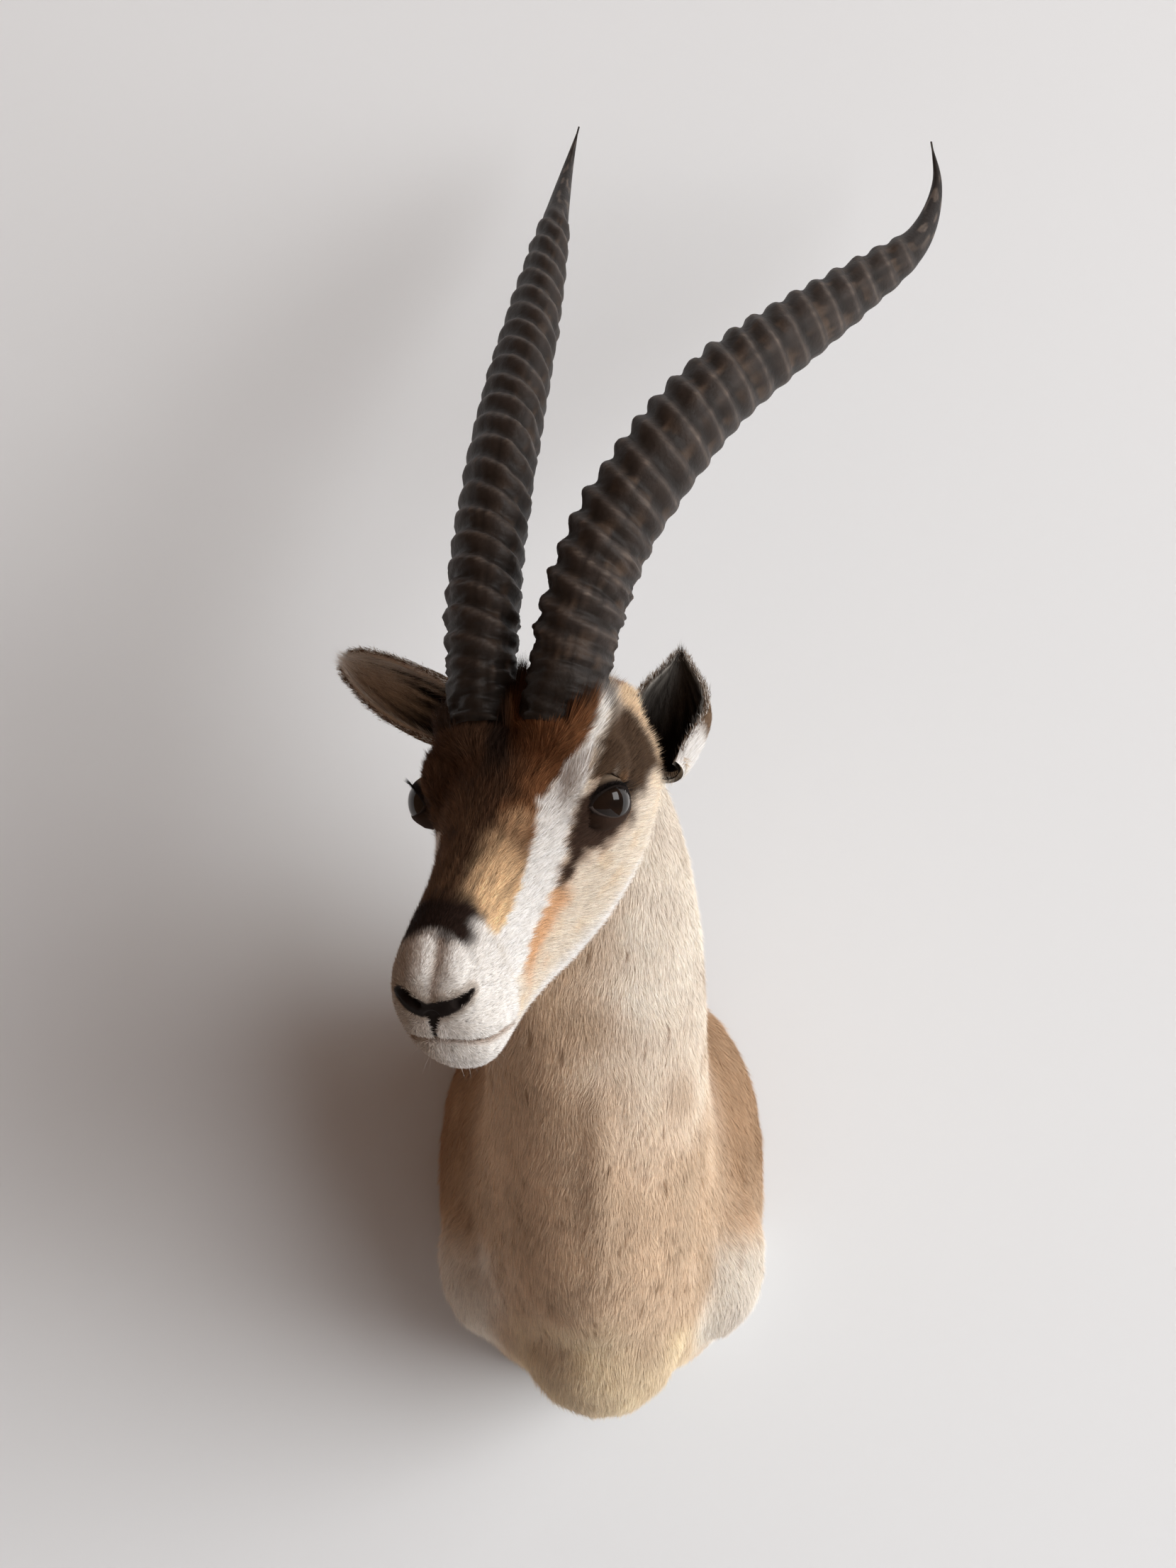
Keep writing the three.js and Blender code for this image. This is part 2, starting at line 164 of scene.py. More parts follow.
# Skin and hair: densities are hairs for each square millimetre, lengths are at places along the nose, at
# lid measures round the eyes and at heights of the neck
VOXEL = 3.2
SMOOTH_ROUNDS = 13
FINE_SMOOTH_ROUNDS = 4
WALL_GAP = -0.3
FUR_PIECE = 180000
HAIR_WIDTH = 0.34
NECK_DENSITY = 1.9
HEAD_EXTRA_DENSITY = 1.8
EAR_OUTSIDE_DENSITY = 3.2
EAR_ROOT_DENSITY = 0.5
EAR_TIP_EXTRA_DENSITY = 2.4
RIM_HAIRS = 30
FACE_HAIR_AT = [-100, -40, 20, 70, 110, 140, 165]
FACE_HAIR = [9, 9, 7, 6, 4.6, 3.2, 2.2]
EYE_HAIR_AT = [1.2, 2.0, 3.0]
EYE_HAIR = [1.8, 4, 9]
NECK_HAIR_AT = [-160, -90, 40, 260]
NECK_HAIR = [8, 7, 6, 6]
TUFT_HAIR = 8
FLECK_COUNT = 60
DOT_COUNT = 110
LASH_COUNT = 150
LASH_WIDTH = 0.5
WHISKER_COUNT = 90
WHISKER_WIDTH = 0.16

# Stage and light, in metres, watts and linear colours
WALL_PLACE = 0.001
WALL_HALF = 5
WALL_TOP = 3
FLOOR_LEVEL = -0.9
FLOOR_HALF = 1.3
FLOOR_FRONT = -2.2
WALL_PAINT = (0.635, 0.65, 0.66, 1)
LAMP_TARGET = (0.0, -0.15, 0.2)
LAMPS = {
    "bright_room": {"place": (8.4, -5.2, 0.4), "size": (12, 8), "power": 1000, "colour": (0.985, 0.99, 1)},
    "window": {"place": (2.8, -2.0, 1.6), "size": (1.6, 1.8), "power": 38, "colour": (1, 1, 1)},
    "grazing": {"place": (16.0, -3.6, 0.3), "size": (4, 9), "power": 1200, "colour": (0.97, 0.99, 1)},
}
ROOM_COLOUR = (1.0, 0.56, 0.34, 1)
ROOM_STRENGTH = 0.17


def linear(red, green, blue):
    """Linear colour of a screen colour from 0 to 255."""
    screen = np.array([red, green, blue]) / 255
    return np.where(screen <= 0.04045, screen / 12.92, ((screen + 0.055) / 1.055) ** 2.4)


CHESTNUT = linear(132, 90, 60)
DARK_BROWN = linear(82, 60, 45)
GOLD = linear(224, 191, 150)
FAR_SIDE_SHADE_BROWN = linear(104, 80, 60)
CENTRE_DARK = linear(50, 39, 33)
SPOT = linear(46, 34, 29)
WHITE = linear(250, 247, 242)
MUZZLE = linear(246, 242, 236)
MUZZLE_SHADE = linear(150, 132, 112)
CHEEK = linear(234, 221, 204)
BUFF = linear(232, 204, 170)
RUFOUS = linear(222, 174, 128)
TEAR = linear(70, 54, 45)
GREY_BROWN = linear(80, 63, 49)
BLACK_SKIN = linear(30, 25, 23)
LID_SHEEN_GREY = linear(64, 58, 55)
FAWN = linear(230, 206, 178)
LIT_SIDE_PALE_FAWN = linear(251, 240, 226)
SHOULDER = linear(200, 168, 136)
CHEST = linear(238, 219, 188)
SHOULDER_WHITE = linear(246, 240, 230)
FLECK = linear(140, 104, 72)
EAR_TAN = linear(122, 100, 80)
EAR_DARK = linear(30, 25, 21)
EAR_HAIR = linear(248, 242, 232)
HORN_BASE = linear(50, 43, 39)
HORN_HIGHLIGHT_AND_WEAR = linear(116, 104, 94)
HORN_GROOVE = linear(28, 24, 21)
HORN_BROWN = linear(82, 66, 53)
HORN_TIP = linear(36, 33, 32)
PUPIL = linear(14, 11, 10)
IRIS = linear(29, 20, 15)
LASH = linear(24, 20, 18)
PLY_DARK = linear(150, 116, 78)
PLY_PALE = linear(204, 172, 128)


# Arithmetic
def unit(vectors):
    return vectors / np.maximum(np.linalg.norm(vectors, axis=-1, keepdims=True), 1e-9)


def step(value, start, end):
    """0 before start, 1 after end and smooth between."""
    share = np.clip((value - start) / (end - start), 0, 1)
    return share * share * (3 - 2 * share)


def fall(value, start, end):
    """1 before start, 0 after end and smooth between."""
    return 1 - step(value, start, end)


def within(value, start, end, edge):
    """1 between start and end, 0 outside, with soft edges."""
    return step(value, start - edge, start + edge) * fall(value, end - edge, end + edge)


def to_line(points, line):
    """Distance of each point to the edge of a line of straight legs, whose last value is its half width."""
    line = np.array(line, float)
    nearest = np.full(len(points), np.inf)
    for start, end in zip(line[:-1], line[1:]):
        leg = end[:-1] - start[:-1]
        share = np.clip((points - start[:-1]) @ leg / max(leg @ leg, 1e-9), 0, 1)
        gap = np.linalg.norm(points - start[:-1] - share[:, None] * leg, axis=1)
        nearest = np.minimum(nearest, gap - start[-1] - share * (end[-1] - start[-1]))
    return nearest


def blend(base, colour, share):
    return base + (colour - base) * share[:, None]


def waves(points, size, seed):
    """Smooth noise, mostly from -1 to 1, with features of about the given size."""
    count = 14
    picker = np.random.default_rng(seed)
    directions = unit(picker.normal(size=(count, 3)))
    lengths = size * picker.uniform(1.2, 2.6, count)
    phases = picker.uniform(0, 2 * math.pi, count)
    return np.sin(points @ (directions * 2 * math.pi / lengths[:, None]).T + phases).sum(axis=1) / 4


# The head's and the eyes' frames
def head_axes():
    yaw = math.radians(HEAD_YAW)
    pitch = math.radians(HEAD_PITCH)
    nose = np.array([-math.sin(yaw) * math.cos(pitch), -math.cos(yaw) * math.cos(pitch), -math.sin(pitch)])
    left = np.array([math.cos(yaw), -math.sin(yaw), 0.0])
    return np.array([nose, left, np.cross(nose, left)])


HEAD_AXES = head_axes()


def to_head(points):
    return (points - HEAD_ORIGIN) @ HEAD_AXES.T


def from_head(places):
    return places @ HEAD_AXES + HEAD_ORIGIN


def eye_axes():
    """Towards the front corner, towards the upper lid and out of the left eye, in the head's frame."""
    facing = unit(EYE_FACING)
    level = HEAD_AXES @ np.array([0.0, 0.0, 1.0])
    up = unit(level - (level @ facing) * facing)
    front = np.cross(facing, up)
    slant = math.radians(EYE_SLANT)
    return np.array([front * math.cos(slant) - up * math.sin(slant),
                     up * math.cos(slant) + front * math.sin(slant), facing])


EYE_AXES = eye_axes()


def mirrored(places, mirror):
    return places * np.array([1, mirror, 1])


def to_eye(places, mirror):
    return (mirrored(places, mirror) - EYE_PLACE) @ EYE_AXES.T


def from_eye(places, mirror):
    return mirrored(places @ EYE_AXES + EYE_PLACE, mirror)


def lid_measure(local):
    """1 on the edge of the lids, less inside the opening, more outside."""
    high = np.where(local[:, 1] > 0, UPPER_LID, LOWER_LID)
    across = np.abs(local[:, 0] / EYE_HALF_LENGTH) ** LID_POWER
    return (across + np.abs(local[:, 1] / high) ** LID_POWER) ** (1 / LID_POWER)


def side_folded(places):
    """The same places with the animal's right side laid over its left."""
    return np.column_stack([places[:, 0], np.abs(places[:, 1]), places[:, 2]])


def eye_distance(places):
    """The lid measure of the nearer eye, large away from both."""
    local = to_eye(side_folded(places), 1)
    close = (local[:, 2] > -14) & (np.linalg.norm(local, axis=1) < 45)
    return np.where(close, lid_measure(local), 9.0)


laid_lines = {}


def lay_lines(points):
    """Moves the face's lines onto the skin whose points are given."""
    places = to_head(points)
    for name, corners in FACE_LINES.items():
        corners = np.array(corners, float)
        runs = np.concatenate([[0], np.cumsum(np.linalg.norm(np.diff(corners[:, :3], axis=0), axis=1))])
        at = np.linspace(0, runs[-1], max(3, int(runs[-1] / 3)))
        line = np.column_stack([np.interp(at, runs, corners[:, column]) for column in range(4)])
        for row in line:
            row[:3] = places[np.linalg.norm(places - row[:3], axis=1).argmin()]
        laid_lines[name] = line


def face_line(places, name):
    return to_line(places, laid_lines[name])


# Meshes and materials
def mesh_piece(name, points, faces, material, colours):
    """An object from points in millimetres, faces of equal corner counts, and a colour at each point."""
    mesh = bpy.data.meshes.new(name)
    mesh.vertices.add(len(points))
    mesh.vertices.foreach_set("co", np.ascontiguousarray(points * MM, np.float32).ravel())
    mesh.loops.add(faces.size)
    mesh.loops.foreach_set("vertex_index", np.ascontiguousarray(faces, np.int32).ravel())
    mesh.polygons.add(len(faces))
    mesh.polygons.foreach_set("loop_start", np.arange(0, faces.size, faces.shape[1], dtype=np.int32))
    mesh.update(calc_edges=True)
    mesh.shade_smooth()
    layer = mesh.color_attributes.new("tint", "FLOAT_COLOR", "POINT")
    tint = np.ones((len(points), 4), np.float32)
    tint[:, :3] = np.clip(colours, 0, 1)
    layer.data.foreach_set("color", tint.ravel())
    mesh.materials.append(material)
    piece = bpy.data.objects.new(name, mesh)
    scene.collection.objects.link(piece)
    return piece


def settle(piece, slot, *nodes):
    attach(piece, "root")
    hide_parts(*nodes)


def grid_faces(rows, columns, closed):
    """Quads of a grid of points, row by row; closed joins each row's last point to its first."""
    row = np.arange(rows - 1)[:, None]
    column = np.arange(columns if closed else columns - 1)[None, :]
    following = (column + 1) % columns
    quads = [row * columns + column, row * columns + following,
             (row + 1) * columns + following, (row + 1) * columns + column]
    return np.stack(quads, axis=-1).reshape(-1, 4)


def new_material(name):
    """A material with its nodes, its links and its surface shader."""
    material = bpy.data.materials.new(name)
    material.use_nodes = True
    tree = material.node_tree
    return material, tree.nodes, tree.links, tree.nodes["Principled BSDF"]


def new_node(nodes, kind, **values):
    """A shader node with values for its sockets, underscores standing for the spaces in their names."""
    node = nodes.new("ShaderNode" + kind)
    for socket, value in values.items():
        node.inputs[socket.replace("_", " ")].default_value = value
    return node


def tinted_material(name, roughness, grain_scale, grain_share, bump_distance, sockets):
    """A surface coloured point by point, with a fine grain in its colour, roughness and relief."""
    material, nodes, links, surface = new_material(name)
    tint = new_node(nodes, "VertexColor")
    tint.layer_name = "tint"
    place = new_node(nodes, "TexCoord")
    grain = new_node(nodes, "TexNoise", Scale=grain_scale, Detail=4)
    links.new(place.outputs["Object"], grain.inputs["Vector"])
    shade = new_node(nodes, "MapRange", To_Min=1 - grain_share, To_Max=1 + grain_share)
    links.new(grain.outputs["Fac"], shade.inputs["Value"])
    colour = new_node(nodes, "VectorMath")
    colour.operation = "SCALE"
    links.new(tint.outputs["Color"], colour.inputs[0])
    links.new(shade.outputs["Result"], colour.inputs["Scale"])
    links.new(colour.outputs["Vector"], surface.inputs["Base Color"])
    rough = new_node(nodes, "MapRange", To_Min=roughness - 0.12, To_Max=roughness + 0.12)
    links.new(grain.outputs["Fac"], rough.inputs["Value"])
    links.new(rough.outputs["Result"], surface.inputs["Roughness"])
    relief = new_node(nodes, "Bump", Distance=bump_distance * MM, Strength=0.6)
    links.new(grain.outputs["Fac"], relief.inputs["Height"])
    links.new(relief.outputs["Normal"], surface.inputs["Normal"])
    for socket, value in sockets.items():
        surface.inputs[socket].default_value = value
    return material


def fur_material():
    sockets = {"Specular IOR Level": 0.06, "Sheen Weight": 0.02}
    return tinted_material("fur", roughness=0.62, grain_scale=160, grain_share=0.14, bump_distance=0.0,
                           sockets=sockets)


def horn_material():
    return tinted_material("horn", roughness=0.52, grain_scale=420, grain_share=0.3, bump_distance=0.5,
                           sockets={"Specular IOR Level": 0.36})


def eye_material():
    sockets = {"Specular IOR Level": 0.1, "Coat Weight": 0.8, "Coat Roughness": 0.05}
    return tinted_material("eye", roughness=0.13, grain_scale=600, grain_share=0.25, bump_distance=0.0,
                           sockets=sockets)


def lid_material():
    return tinted_material("lid", roughness=0.8, grain_scale=900, grain_share=0.3, bump_distance=0.4,
                           sockets={"Specular IOR Level": 0.08})


def wood_material():
    """Plain plywood: long grain lines on a pale ground."""
    material, nodes, links, surface = new_material("plywood")
    place = new_node(nodes, "TexCoord")
    stretch = new_node(nodes, "Mapping", Scale=(60, 60, 3))
    links.new(place.outputs["Object"], stretch.inputs["Vector"])
    grain = new_node(nodes, "TexNoise", Scale=2, Detail=6)
    links.new(stretch.outputs["Vector"], grain.inputs["Vector"])
    ramp = new_node(nodes, "ValToRGB")
    ramp.color_ramp.elements[0].color = (*PLY_DARK, 1)
    ramp.color_ramp.elements[1].color = (*PLY_PALE, 1)
    links.new(grain.outputs["Fac"], ramp.inputs["Fac"])
    links.new(ramp.outputs["Color"], surface.inputs["Base Color"])
    surface.inputs["Roughness"].default_value = 0.7
    relief = new_node(nodes, "Bump", Distance=0.3 * MM)
    links.new(grain.outputs["Fac"], relief.inputs["Height"])
    links.new(relief.outputs["Normal"], surface.inputs["Normal"])
    return material


# The coat's colours, lengths and lie
def face_places(points):
    """Along the nose, side, height, and girth: the way round the face from the middle of the nose."""
    along, side, height = to_head(points).T
    girth = np.abs(side) + 0.8 * (np.interp(along, CROWN_AT, CROWN_HEIGHT) - height)
    return along, side, height, girth


def head_share(points):
    """1 on the head, 0 on the neck."""
    along, _, height = to_head(points).T
    jaw = np.interp(along, JAW_AT, JAW_HEIGHT)
    return step(height, jaw - 9, jaw + 9) * step(along, -118, -98)


def neck_colours(points):
    x, y, z = points.T
    mottle = waves(points, 26, 3)
    blotch = waves(points * np.array([1, 1, 1.6]), 9, 11)
    colour = np.tile(FAWN, (len(points), 1))
    # Paler over the upper neck's right side: partly the real paler throat, partly painted light on the side
    # the lamps light.
    colour = blend(colour, LIT_SIDE_PALE_FAWN, step(z + 16 * mottle, -10, 130) * step(x + 6 * mottle, -30, 30))
    colour = blend(colour, SHOULDER, step(y, -130, -60) * step(z, -70, 10))
    colour = blend(colour, SHOULDER_WHITE, 0.8 * step(np.abs(x) + 6 * mottle, 55, 82) * step(-z, 30, 62))
    colour = blend(colour, CHEST, step(-z + 10 * mottle, 74, 116) * fall(np.abs(x), 48, 68))
    worn = step(blotch, 0.7, 1.3) * step(-z + 20 * mottle, -60, 20) * fall(-z, 60, 100)
    return blend(colour, FLECK, 0.3 * worn) * (1 + 0.07 * mottle)[:, None]


def forehead_colours(points):
    """Chestnut by the horns, gold towards the nose, darker along the middle, and darker on the far side as
    painted shade.
    """
    along, side, height, _ = face_places(points)
    beside = side - np.interp(along, MIDDLE_AT, MIDDLE_SIDE)
    mottle = waves(points, 14, 6)
    streaks = waves(np.column_stack([along * 0.12, side, height]), 2.2, 5)
    colour = blend(np.tile(DARK_BROWN, (len(points), 1)), CHESTNUT, step(beside + 5 * mottle, 2, 26))
    # Painted shade: the gold stays on the near half, and the far half of the face is painted a darker brown.
    colour = blend(colour, GOLD, step(along + 0.8 * beside + 8 * mottle, 54, 106) * step(beside, -6, 12))
    colour = blend(colour, FAR_SIDE_SHADE_BROWN, step(along, 10, 50) * step(-beside, -2, 14))
    stripe = fall(np.abs(beside + 2 * mottle), 4, 10) * fall(along, 0, 34)
    colour = blend(colour, CENTRE_DARK, stripe)
    return colour * (1 + 0.24 * streaks)[:, None]


def muzzle_colours(points, rest, colour):
    """The pale muzzle with its dark saddle, and painted shade on its far side, down the groove from there to
    the nose and round the nose pad.
    """
    along, side, _, girth = face_places(points)
    places = to_head(rest)
    mottle = waves(points, 9, 10)
    colour = blend(colour, MUZZLE, step(along + 0.3 * np.abs(side - 6) + 4 * mottle, 118, 132))
    groove = face_line(places, "nose_groove")
    # Painted shade on the muzzle's far side.
    far = step(-side + 3 * mottle, -4, 16) * step(along, 120, 140)
    colour = blend(colour, MUZZLE_SHADE, 0.75 * far)
    end = 146 + 5 * fall(groove, 1, 8) + 2 * mottle
    saddle = step(along + 2.5 * mottle, 110, 121) * fall(along, end - 5, end + 4)
    saddle = saddle * fall(girth + 3 * mottle, 23, 38)
    colour = blend(colour, SPOT, saddle)
    # Painted shade along the groove from the saddle down to the nose.
    colour = blend(colour, FLECK, 0.55 * fall(groove, -1, 4) * step(along, 136, 146))
    # Painted shade round the nose pad.
    near_pad = fall(face_line(places, "nose_pad"), 0, 5)
    colour = blend(colour, MUZZLE_SHADE, 0.6 * near_pad)
    lips = fall(face_line(places, "mouth"), -0.4, 3.2)
    return blend(colour, FLECK, 0.75 * lips)


def eye_marks(points):
    """The dark hair round the eyes, under them and down the tear line, and its brown edge."""
    along, _, _, girth = face_places(points)
    places = to_head(points)
    ragged = waves(points, 5, 14)
    front, up, _ = to_eye(side_folded(places), 1).T
    turn = np.degrees(np.arctan2(up / UPPER_LID, front / EYE_HALF_LENGTH))
    reach = np.interp(turn, EYE_RIM_TURN, EYE_RIM_REACH)
    rim = fall(eye_distance(places) + 0.08 * ragged, reach - 0.22, reach + 0.18)
    gap = to_line(np.column_stack([along, girth]), TEAR_LINE) + 1.5 * ragged
    return np.maximum(rim, fall(gap, -3.5, 1.5)), fall(gap, -1, 5)


def head_colours(points, rest):
    along, side, height, girth = face_places(points)
    ragged = girth + 1.2 * waves(points, 4, 4)
    mottle = waves(points, 14, 6)
    inner = np.interp(along, STRIPE_INNER_AT, STRIPE_INNER)
    outer = np.interp(along, STRIPE_OUTER_AT, STRIPE_OUTER)
    far = step(-side, 0, 6)

    colour = blend(np.tile(CHEEK, (len(points), 1)), BUFF, step(mottle, 0.2, 1.2) * 0.4)
    colour = blend(colour, WHITE, step(-height, 80, 104))
    rufous = step(ragged, outer - 3, outer + 2) * fall(girth + 4 * mottle, outer + 3, outer + 20)
    colour = blend(colour, RUFOUS, 0.9 * rufous * within(along, 50, 106, 9))
    colour = blend(colour, BUFF, step(-along, 62, 78))
    above_eye = step(-along + 4 * mottle, -10, 0) * step(girth, 54, 64) * fall(girth, 74, 84)
    behind_eye = step(-along + 4 * mottle, 1, 13) * fall(girth + 4 * mottle, 98, 110)
    brow = np.maximum(above_eye, behind_eye) * step(girth, 48, 62)
    colour = blend(colour, GREY_BROWN, brow * fall(-along, 66, 80))
    white = within(ragged, inner, outer, 2.5) * within(along, -50, 122, 6)
    # Painted shade: on the far side, from just before the eye backwards, the white stripe is left out and the
    # dark forehead colours reach further round.
    white = white * (1 - far * fall(along, 18, 40))
    colour = blend(colour, WHITE, white * (0.75 + 0.25 * step(along, -30, 10)))
    inner = inner + far * np.interp(along, [-40, 24, 50], [60, 50, 0])
    colour = blend(colour, forehead_colours(points), fall(ragged, inner - 3, inner + 2))
    colour = muzzle_colours(points, rest, colour)
    dark, edge = eye_marks(points)
    return blend(blend(colour, FLECK, 0.55 * edge), TEAR, dark)


def bare_share(points, rest):
    """1 where the skin is bare and black: nose pad, lips' edge and the rims of the eyes."""
    places = to_head(rest)
    pad = fall(face_line(places, "nose_pad"), -1.2, 1.0)
    groove = fall(face_line(places, "philtrum"), -0.4, 0.5)
    lips = fall(face_line(places, "mouth"), -0.2, 0.5)
    upper = 0.2 * step(to_eye(side_folded(to_head(points)), 1)[:, 1], 2, 6)
    rims = fall(eye_distance(to_head(points)), 1.06 + upper, 1.14 + upper)
    return np.maximum.reduce([pad, groove, lips, rims])


def coat_colours(points, rest):
    return blend(neck_colours(points), head_colours(points, rest), head_share(points))


def coat_lengths(points):
    along = to_head(points)[:, 0]
    face = np.interp(along, FACE_HAIR_AT, FACE_HAIR)
    face = np.minimum(face, np.interp(eye_distance(to_head(points)), EYE_HAIR_AT, EYE_HAIR))
    neck = np.interp(points[:, 2], NECK_HAIR_AT, NECK_HAIR)
    share = head_share(points)
    tuft = fall(horn_measure(points)[0], 1.15, 1.5)
    return face * share + neck * (1 - share) + TUFT_HAIR * tuft


def coat_flow(points, normals):
    """The way the hairs lie: back along the head, up round the horns, down the neck."""
    _, side, height, _ = face_places(points)
    share = head_share(points)[:, None]
    outward = np.sign(side) * step(np.abs(side), 2, 30)
    nose, left, up = HEAD_AXES
    head = -nose + 0.3 * outward[:, None] * left - 0.45 * step(-height, 25, 70)[:, None] * up
    neck = np.column_stack([points[:, 0] * 0.003, np.full(len(points), 0.12), np.full(len(points), -1.0)])
    flow = head * share + neck * (1 - share)
    sway = 0.22 * waves(points, 18, 7) + 0.12 * waves(points, 5, 8)
    flow = flow + sway[:, None] * np.cross(flow, normals)
    return unit(flow - (flow * normals).sum(axis=1)[:, None] * normals)


# The skin
def even_mesh():
    """The hide's solid, with the horns standing in it, as a net of small even faces."""
    net = bmesh.new()
    for name in ("hide", "horn_left", "horn_right"):
        net.from_mesh(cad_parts[name].data)
    joined = bpy.data.meshes.new("joined")
    net.to_mesh(joined)
    net.free()
    solid = bpy.data.objects.new("joined", joined)
    scene.collection.objects.link(solid)
    remesh = solid.modifiers.new("even", "REMESH")
    remesh.mode = "VOXEL"
    remesh.voxel_size = VOXEL * MM
    mesh = bpy.data.meshes.new_from_object(solid.evaluated_get(bpy.context.evaluated_depsgraph_get()))
    bpy.data.objects.remove(solid)
    return mesh


def horn_base(controls, mirror):
    """Middle and axes of a horn where it leaves the skin: along, front and side."""
    middle, along = smooth_path(controls, np.linspace(0, 1, 81))
    index = round(80 * HORN_CLEAR)
    side, front = horn_axes(along[index:index + 1], mirror)
    return middle[index], along[index], front[0], side[0]


def horn_measure(points):
    """How far a point is from the nearer horn's axis, as a share of the horn's half widths, and that axis."""
    nearest = np.full(len(points), 9.0)
    axes = np.zeros((len(points), 3))
    for controls, mirror in ((HORN_LEFT, 1), (HORN_RIGHT, -1)):
        middle, along, front, side = horn_base(controls, mirror)
        offset = points - middle
        share = np.hypot(offset @ front / HORN_DEPTH, offset @ side / (HORN_DEPTH * HORN_WIDTH))
        share = np.where(np.abs(offset @ along) < 60, share, 9.0)
        axes = np.where((share < nearest)[:, None], along, axes)
        nearest = np.minimum(nearest, share)
    return nearest, axes


def on_horn(points):
    """True on the parts of the horns that stand clear of the skin."""
    clear = np.zeros(len(points), bool)
    for controls, mirror in ((HORN_LEFT, 1), (HORN_RIGHT, -1)):
        line, _ = smooth_path(controls, np.linspace(0, 1, 81))
        line = np.column_stack([line, np.full(len(line), HORN_DEPTH)])
        middle, along, _, _ = horn_base(controls, mirror)
        clear |= ((points - middle) @ along > 0) & (to_line(points, line) < 8)
    return clear


def ear_frame(ear):
    """Root, length and the axes along, across and out of the ear's cup."""
    root = np.array(ear["root"], float)
    axis = np.array(ear["tip"], float) - root
    length = np.linalg.norm(axis)
    axis = axis / length
    opens = np.array(ear["opens"], float)
    opens = unit(opens - (opens @ axis) * axis)
    return root, length, axis, np.cross(axis, opens), opens


def in_ear(points, ear):
    root, length, axis, _, _ = ear_frame(ear)
    share = (points - root) @ axis / length
    reach = np.linalg.norm(points - root - (share * length)[:, None] * axis, axis=1)
    return (share > 0.12) & (reach < ear["radius"] + 6)


def bare_net(mesh):
    """The net without the ears and horns, which are pieces of their own."""
    points = np.empty(len(mesh.vertices) * 3, np.float32)
    mesh.vertices.foreach_get("co", points)
    points = points.reshape(-1, 3) / MM
    taken = in_ear(points, EAR_LEFT) | in_ear(points, EAR_RIGHT) | on_horn(points)
    net = bmesh.new()
    net.from_mesh(mesh)
    net.verts.ensure_lookup_table()
    bmesh.ops.delete(net, geom=[net.verts[index] for index in np.flatnonzero(taken)], context="VERTS")
    return net


def net_points(net):
    return np.array([vertex.co for vertex in net.verts]) / MM


def smooth_net(net, rounds, chosen=None):
    """Each point moves towards the middle of its neighbours."""
    net.verts.index_update()
    points = net_points(net)
    edges = np.array([(edge.verts[0].index, edge.verts[1].index) for edge in net.edges])
    count = np.maximum(np.bincount(edges.ravel(), minlength=len(points)), 1)[:, None]
    share = np.full(len(points), 0.5) if chosen is None else 0.5 * chosen(points)
    for _ in range(rounds):
        total = np.zeros_like(points)
        for axis in range(3):
            total[:, axis] += np.bincount(edges[:, 0], points[edges[:, 1], axis], len(points))
            total[:, axis] += np.bincount(edges[:, 1], points[edges[:, 0], axis], len(points))
        points += share[:, None] * (total / count - points)
    place_net(net, points)


def place_net(net, points):
    for vertex, point in zip(net.verts, points * MM):
        vertex.co = point


def fine_zone(points):
    """1 at the muzzle's end and round the eyes, where the skin needs small faces."""
    places = to_head(points)
    muzzle = step(places[:, 0], 128, 132) * step(places[:, 2], -112, -104)
    return np.maximum(muzzle, fall(eye_distance(places), 2.3, 2.5))


def refine_net(net):
    net.verts.index_update()
    fine = fine_zone(net_points(net)) > 0.5
    edges = [edge for edge in net.edges if fine[edge.verts[0].index] and fine[edge.verts[1].index]]
    bmesh.ops.subdivide_edges(net, edges=edges, cuts=1, use_grid_fill=True)


def sculpt(points, normals):
    """Nostrils, lips, chin, tear line and the skin round the eyes and down the neck's front."""
    places = to_head(points)
    rise = np.zeros(len(points))
    for names, height, full, end in FACE_RELIEF:
        gap = np.minimum.reduce([face_line(places, name) for name in names])
        rise += height * fall(gap, full, end)
    along, _, _, girth = face_places(points)
    rise -= 1.4 * fall(to_line(np.column_stack([along, girth]), TEAR_LINE), -7, 0)
    rise += 4.0 * fall(to_line(points, NECK_RIDGE), 0, 16)
    measure, _ = horn_measure(points)
    rise -= 4.0 * fall(measure, 0.98, 1.06)
    rise += 2.0 * step(measure, 1.0, 1.1) * fall(measure, 1.2, 1.6)
    moved = places + (rise[:, None] * normals) @ HEAD_AXES.T
    for mirror in (1, -1):
        local = to_eye(moved, mirror)
        reach = np.linalg.norm(local, axis=1)
        lids = lid_measure(local)
        close = (local[:, 2] > -7) & (reach < 34)
        target = EYE_RADIUS + np.where(lids < 1.06, -3.0, 0.3 + 2.6 * (lids - 1.06))
        pull = np.where(close, fall(lids, 1.45, 2.2), 0)
        reach_wanted = reach + (target - reach) * pull
        local *= (reach_wanted / np.maximum(reach, 1e-6))[:, None]
        moved = from_eye(local, mirror)
    return from_head(moved)


def net_arrays(net):
    """Points, normals and triangles of the net."""
    net.normal_update()
    net.verts.index_update()
    points = net_points(net)
    normals = np.array([vertex.normal for vertex in net.verts])
    bmesh.ops.triangulate(net, faces=net.faces[:])
    triangles = np.array([[vertex.index for vertex in face.verts] for face in net.faces])
    return points, normals, triangles


